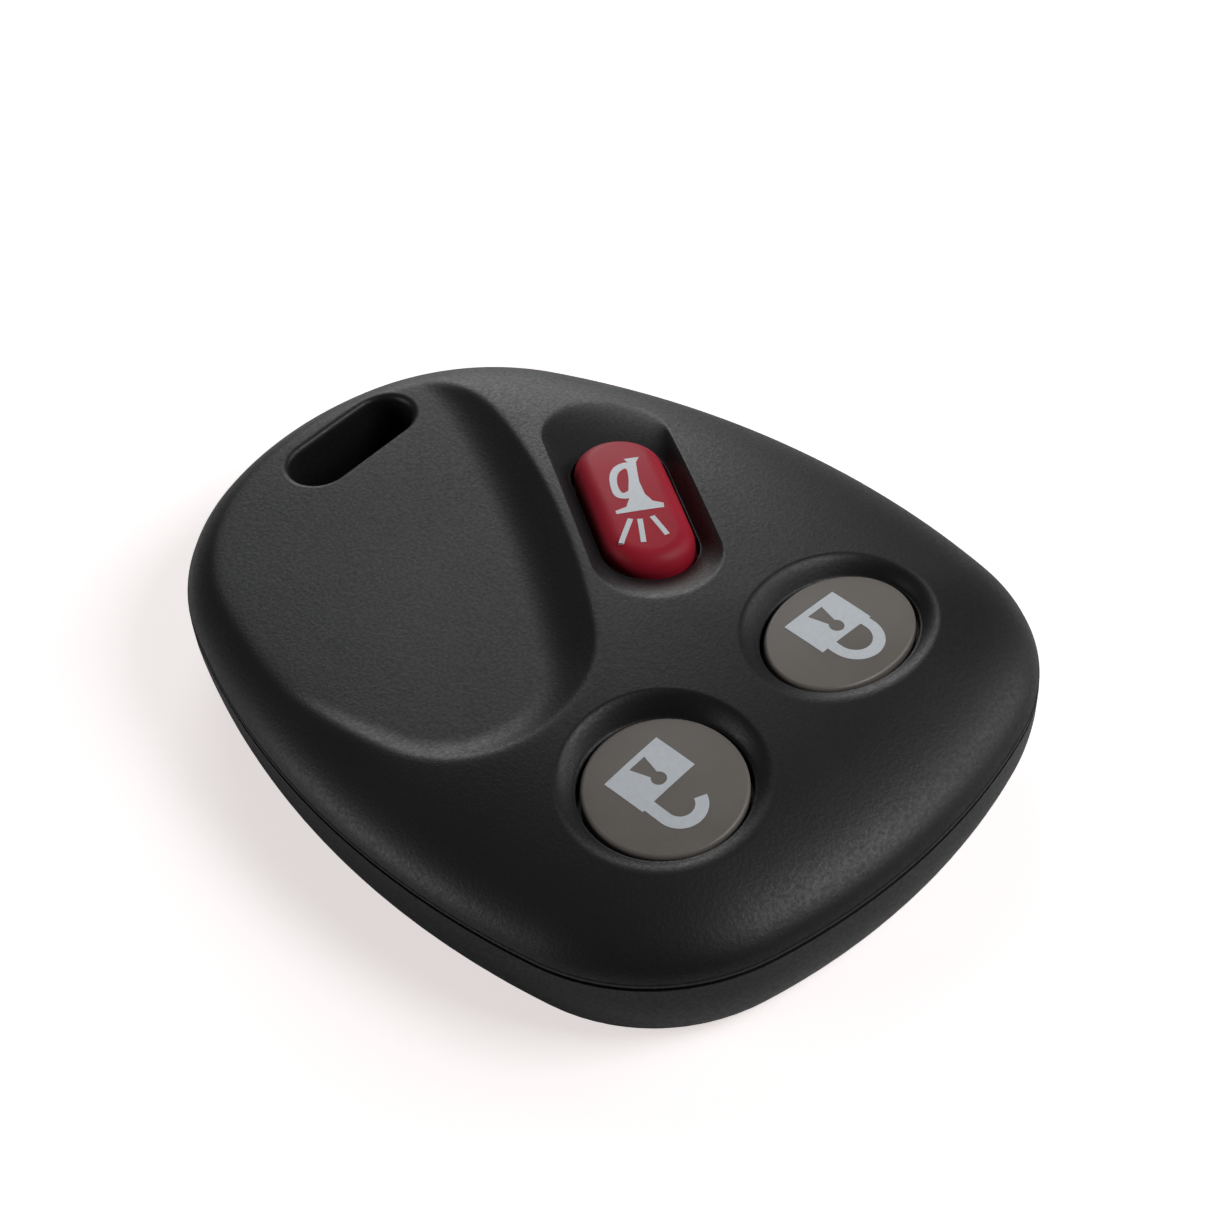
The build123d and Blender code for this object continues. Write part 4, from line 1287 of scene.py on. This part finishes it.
def camera_axes(stage):
    """Right, up and back of the camera: azimuth about +Z, elevation, then roll."""
    az, el, roll = stage.azimuth, stage.elevation, stage.roll
    back = np.array([math.sin(az) * math.cos(el), -math.cos(az) * math.cos(el), math.sin(el)])
    right = np.array([math.cos(az), math.sin(az), 0.0])
    up = np.cross(back, right)
    c, s = math.cos(roll), math.sin(roll)
    return c * right + s * up, c * up - s * right, back


def from_axes(right, up, back, spot):
    """A matrix whose columns are three axes and a place."""
    matrix = Matrix.Identity(4)
    for row in range(3):
        matrix[row] = (right[row], up[row], back[row], spot[row])
    return matrix


def photo_camera(stage):
    """The camera: it looks along its back axis at the aim point, moved sideways and up by the aim offset."""
    right, up, back = camera_axes(stage)
    spot = np.array(AIM_POINT) * MM + back * stage.distance
    spot = spot + (right * AIM_OFFSET[0] + up * AIM_OFFSET[1]) * MM
    data = bpy.data.cameras.new("photo_camera")
    data.lens = stage.lens
    data.sensor_width = SENSOR_WIDTH
    data.clip_start = 0.01
    camera = bpy.data.objects.new("photo_camera", data)
    bpy.context.scene.collection.objects.link(camera)
    camera.matrix_world = from_axes(right, up, back, spot)
    return camera


def lamp(name, bearing_degrees, height_degrees, watts):
    """A square area lamp that faces the fob from a bearing and a height angle."""
    turn, height = math.radians(bearing_degrees), math.radians(height_degrees)
    back = np.array([math.cos(height) * math.cos(turn), math.cos(height) * math.sin(turn), math.sin(height)])
    data = bpy.data.lights.new(name, "AREA")
    data.shape = "SQUARE"
    data.size = LAMP_SIZE
    data.energy = watts
    thing = bpy.data.objects.new(name, data)
    bpy.context.scene.collection.objects.link(thing)
    side = np.cross((0.0, 0.0, 1.0), back)
    side /= np.linalg.norm(side)
    thing.matrix_world = from_axes(side, np.cross(back, side), back, back * LAMP_REACH + np.array(LAMP_AIM))
    return thing


def seen_apart(tree, others, camera, out):
    """Joins two shaders so that one meets the rays of the camera and the other meets all other rays."""
    path = tree.nodes.new("ShaderNodeLightPath")
    blend = tree.nodes.new("ShaderNodeMixShader")
    tree.links.new(path.outputs["Is Camera Ray"], blend.inputs["Fac"])
    tree.links.new(others, blend.inputs[1])
    tree.links.new(camera, blend.inputs[2])
    tree.links.new(blend.outputs[0], out)


def studio_room(level):
    """A world that lights the fob evenly by its level and is white to the camera."""
    world = bpy.data.worlds.new("studio_room")
    world.use_nodes = True
    nodes = world.node_tree.nodes
    room, white = nodes["Background"], nodes.new("ShaderNodeBackground")
    for background, strength in ((room, level), (white, 1.0)):
        background.inputs["Color"].default_value = (1.0, 1.0, 1.0, 1.0)
        background.inputs["Strength"].default_value = strength
    seen_apart(world.node_tree, room.outputs[0], white.outputs[0], nodes["World Output"].inputs["Surface"])
    return world


def pale_floor():
    """The floor: a matt sheet with a glow for the camera, which grows to white away from the fob."""
    low, high = -FLOOR_HALF, FLOOR_HALF
    mesh = bpy.data.meshes.new("floor")
    mesh.from_pydata([(low, low, 0), (high, low, 0), (high, high, 0), (low, high, 0)], [], [(0, 1, 2, 3)])
    finish = Finish("pale_floor", FLOOR_COLOUR, 0.9)
    reach = finish.nodes.new("ShaderNodeVectorMath")
    reach.operation = "LENGTH"
    finish.links.new(finish.place, reach.inputs[0])
    fade = finish.ramp(reach.outputs["Value"], *FLOOR_FADE)
    fade.node.interpolation_type = "SMOOTHSTEP"
    glow = finish.nodes.new("ShaderNodeEmission")
    glow.inputs["Color"].default_value = FLOOR_GLOW
    finish.links.new(fade, glow.inputs["Strength"])
    both = finish.nodes.new("ShaderNodeAddShader")
    plain = finish.shader.outputs[0]
    finish.links.new(plain, both.inputs[0])
    finish.links.new(glow.outputs[0], both.inputs[1])
    out = finish.nodes["Material Output"].inputs["Surface"]
    seen_apart(finish.material.node_tree, plain, both.outputs[0], out)
    mesh.materials.append(finish.material)
    floor = bpy.data.objects.new("floor", mesh)
    floor.location.z = FLOOR_Z
    bpy.context.scene.collection.objects.link(floor)
    return floor


class FOB_OT_stage(bpy.types.Operator):
    """Sets the camera, the lamps, the room light and the floor"""

    bl_idname = "fob.stage"
    bl_label = "Stage"

    def execute(self, context):
        stage = context.scene.fob_stage
        context.scene.camera = photo_camera(stage)
        for name, turn, height, share in LAMPS:
            lamp(name, turn, height, stage.lamp_watts * share)
        context.scene.world = studio_room(stage.room_level)
        floor = pale_floor()
        context.scene.view_settings.view_transform = "Standard"
        return {"FINISHED"}


OPERATORS = (
    FOB_OT_top_cover,
    FOB_OT_bottom_cover,
    FOB_OT_buttons,
    FOB_OT_keypad,
    FOB_OT_electronics,
    FOB_OT_coin_cell,
    FOB_OT_stage,
)


class FOB_PT_parts(bpy.types.Panel):
    """Lists the fob's parts and their settings"""

    bl_idname = "FOB_PT_parts"
    bl_label = "Key Fob"
    bl_space_type = "VIEW_3D"
    bl_region_type = "UI"
    bl_category = "Key Fob"

    def draw(self, context):
        for settings in (context.scene.fob_finish, context.scene.fob_mesh, context.scene.fob_stage):
            column = self.layout.column()
            for name in settings.__annotations__:
                column.prop(settings, name)
        for operator in OPERATORS:
            self.layout.operator(operator.bl_idname)


SETTINGS = {"fob_finish": FobFinishSettings, "fob_mesh": FobMeshSettings, "fob_stage": FobStageSettings}
CLASSES = tuple(SETTINGS.values()) + OPERATORS + (FOB_PT_parts,)


def register():
    """Registers the classes and hangs their settings on the scene."""
    for item in CLASSES:
        bpy.utils.register_class(item)
    for name, group in SETTINGS.items():
        setattr(bpy.types.Scene, name, PointerProperty(type=group))


def unregister():
    """Takes the settings and the classes away again."""
    for name in SETTINGS:
        delattr(bpy.types.Scene, name)
    for item in reversed(CLASSES):
        bpy.utils.unregister_class(item)


def corners(box):
    """A box as plain numbers."""
    return [[float(number) for number in corner] for corner in box]


def main():
    """Runs every operator."""
    register()
    for operator in OPERATORS:
        group, name = operator.bl_idname.split(".")
        getattr(getattr(bpy.ops, group), name)()


if __name__ == "__main__":
    main()
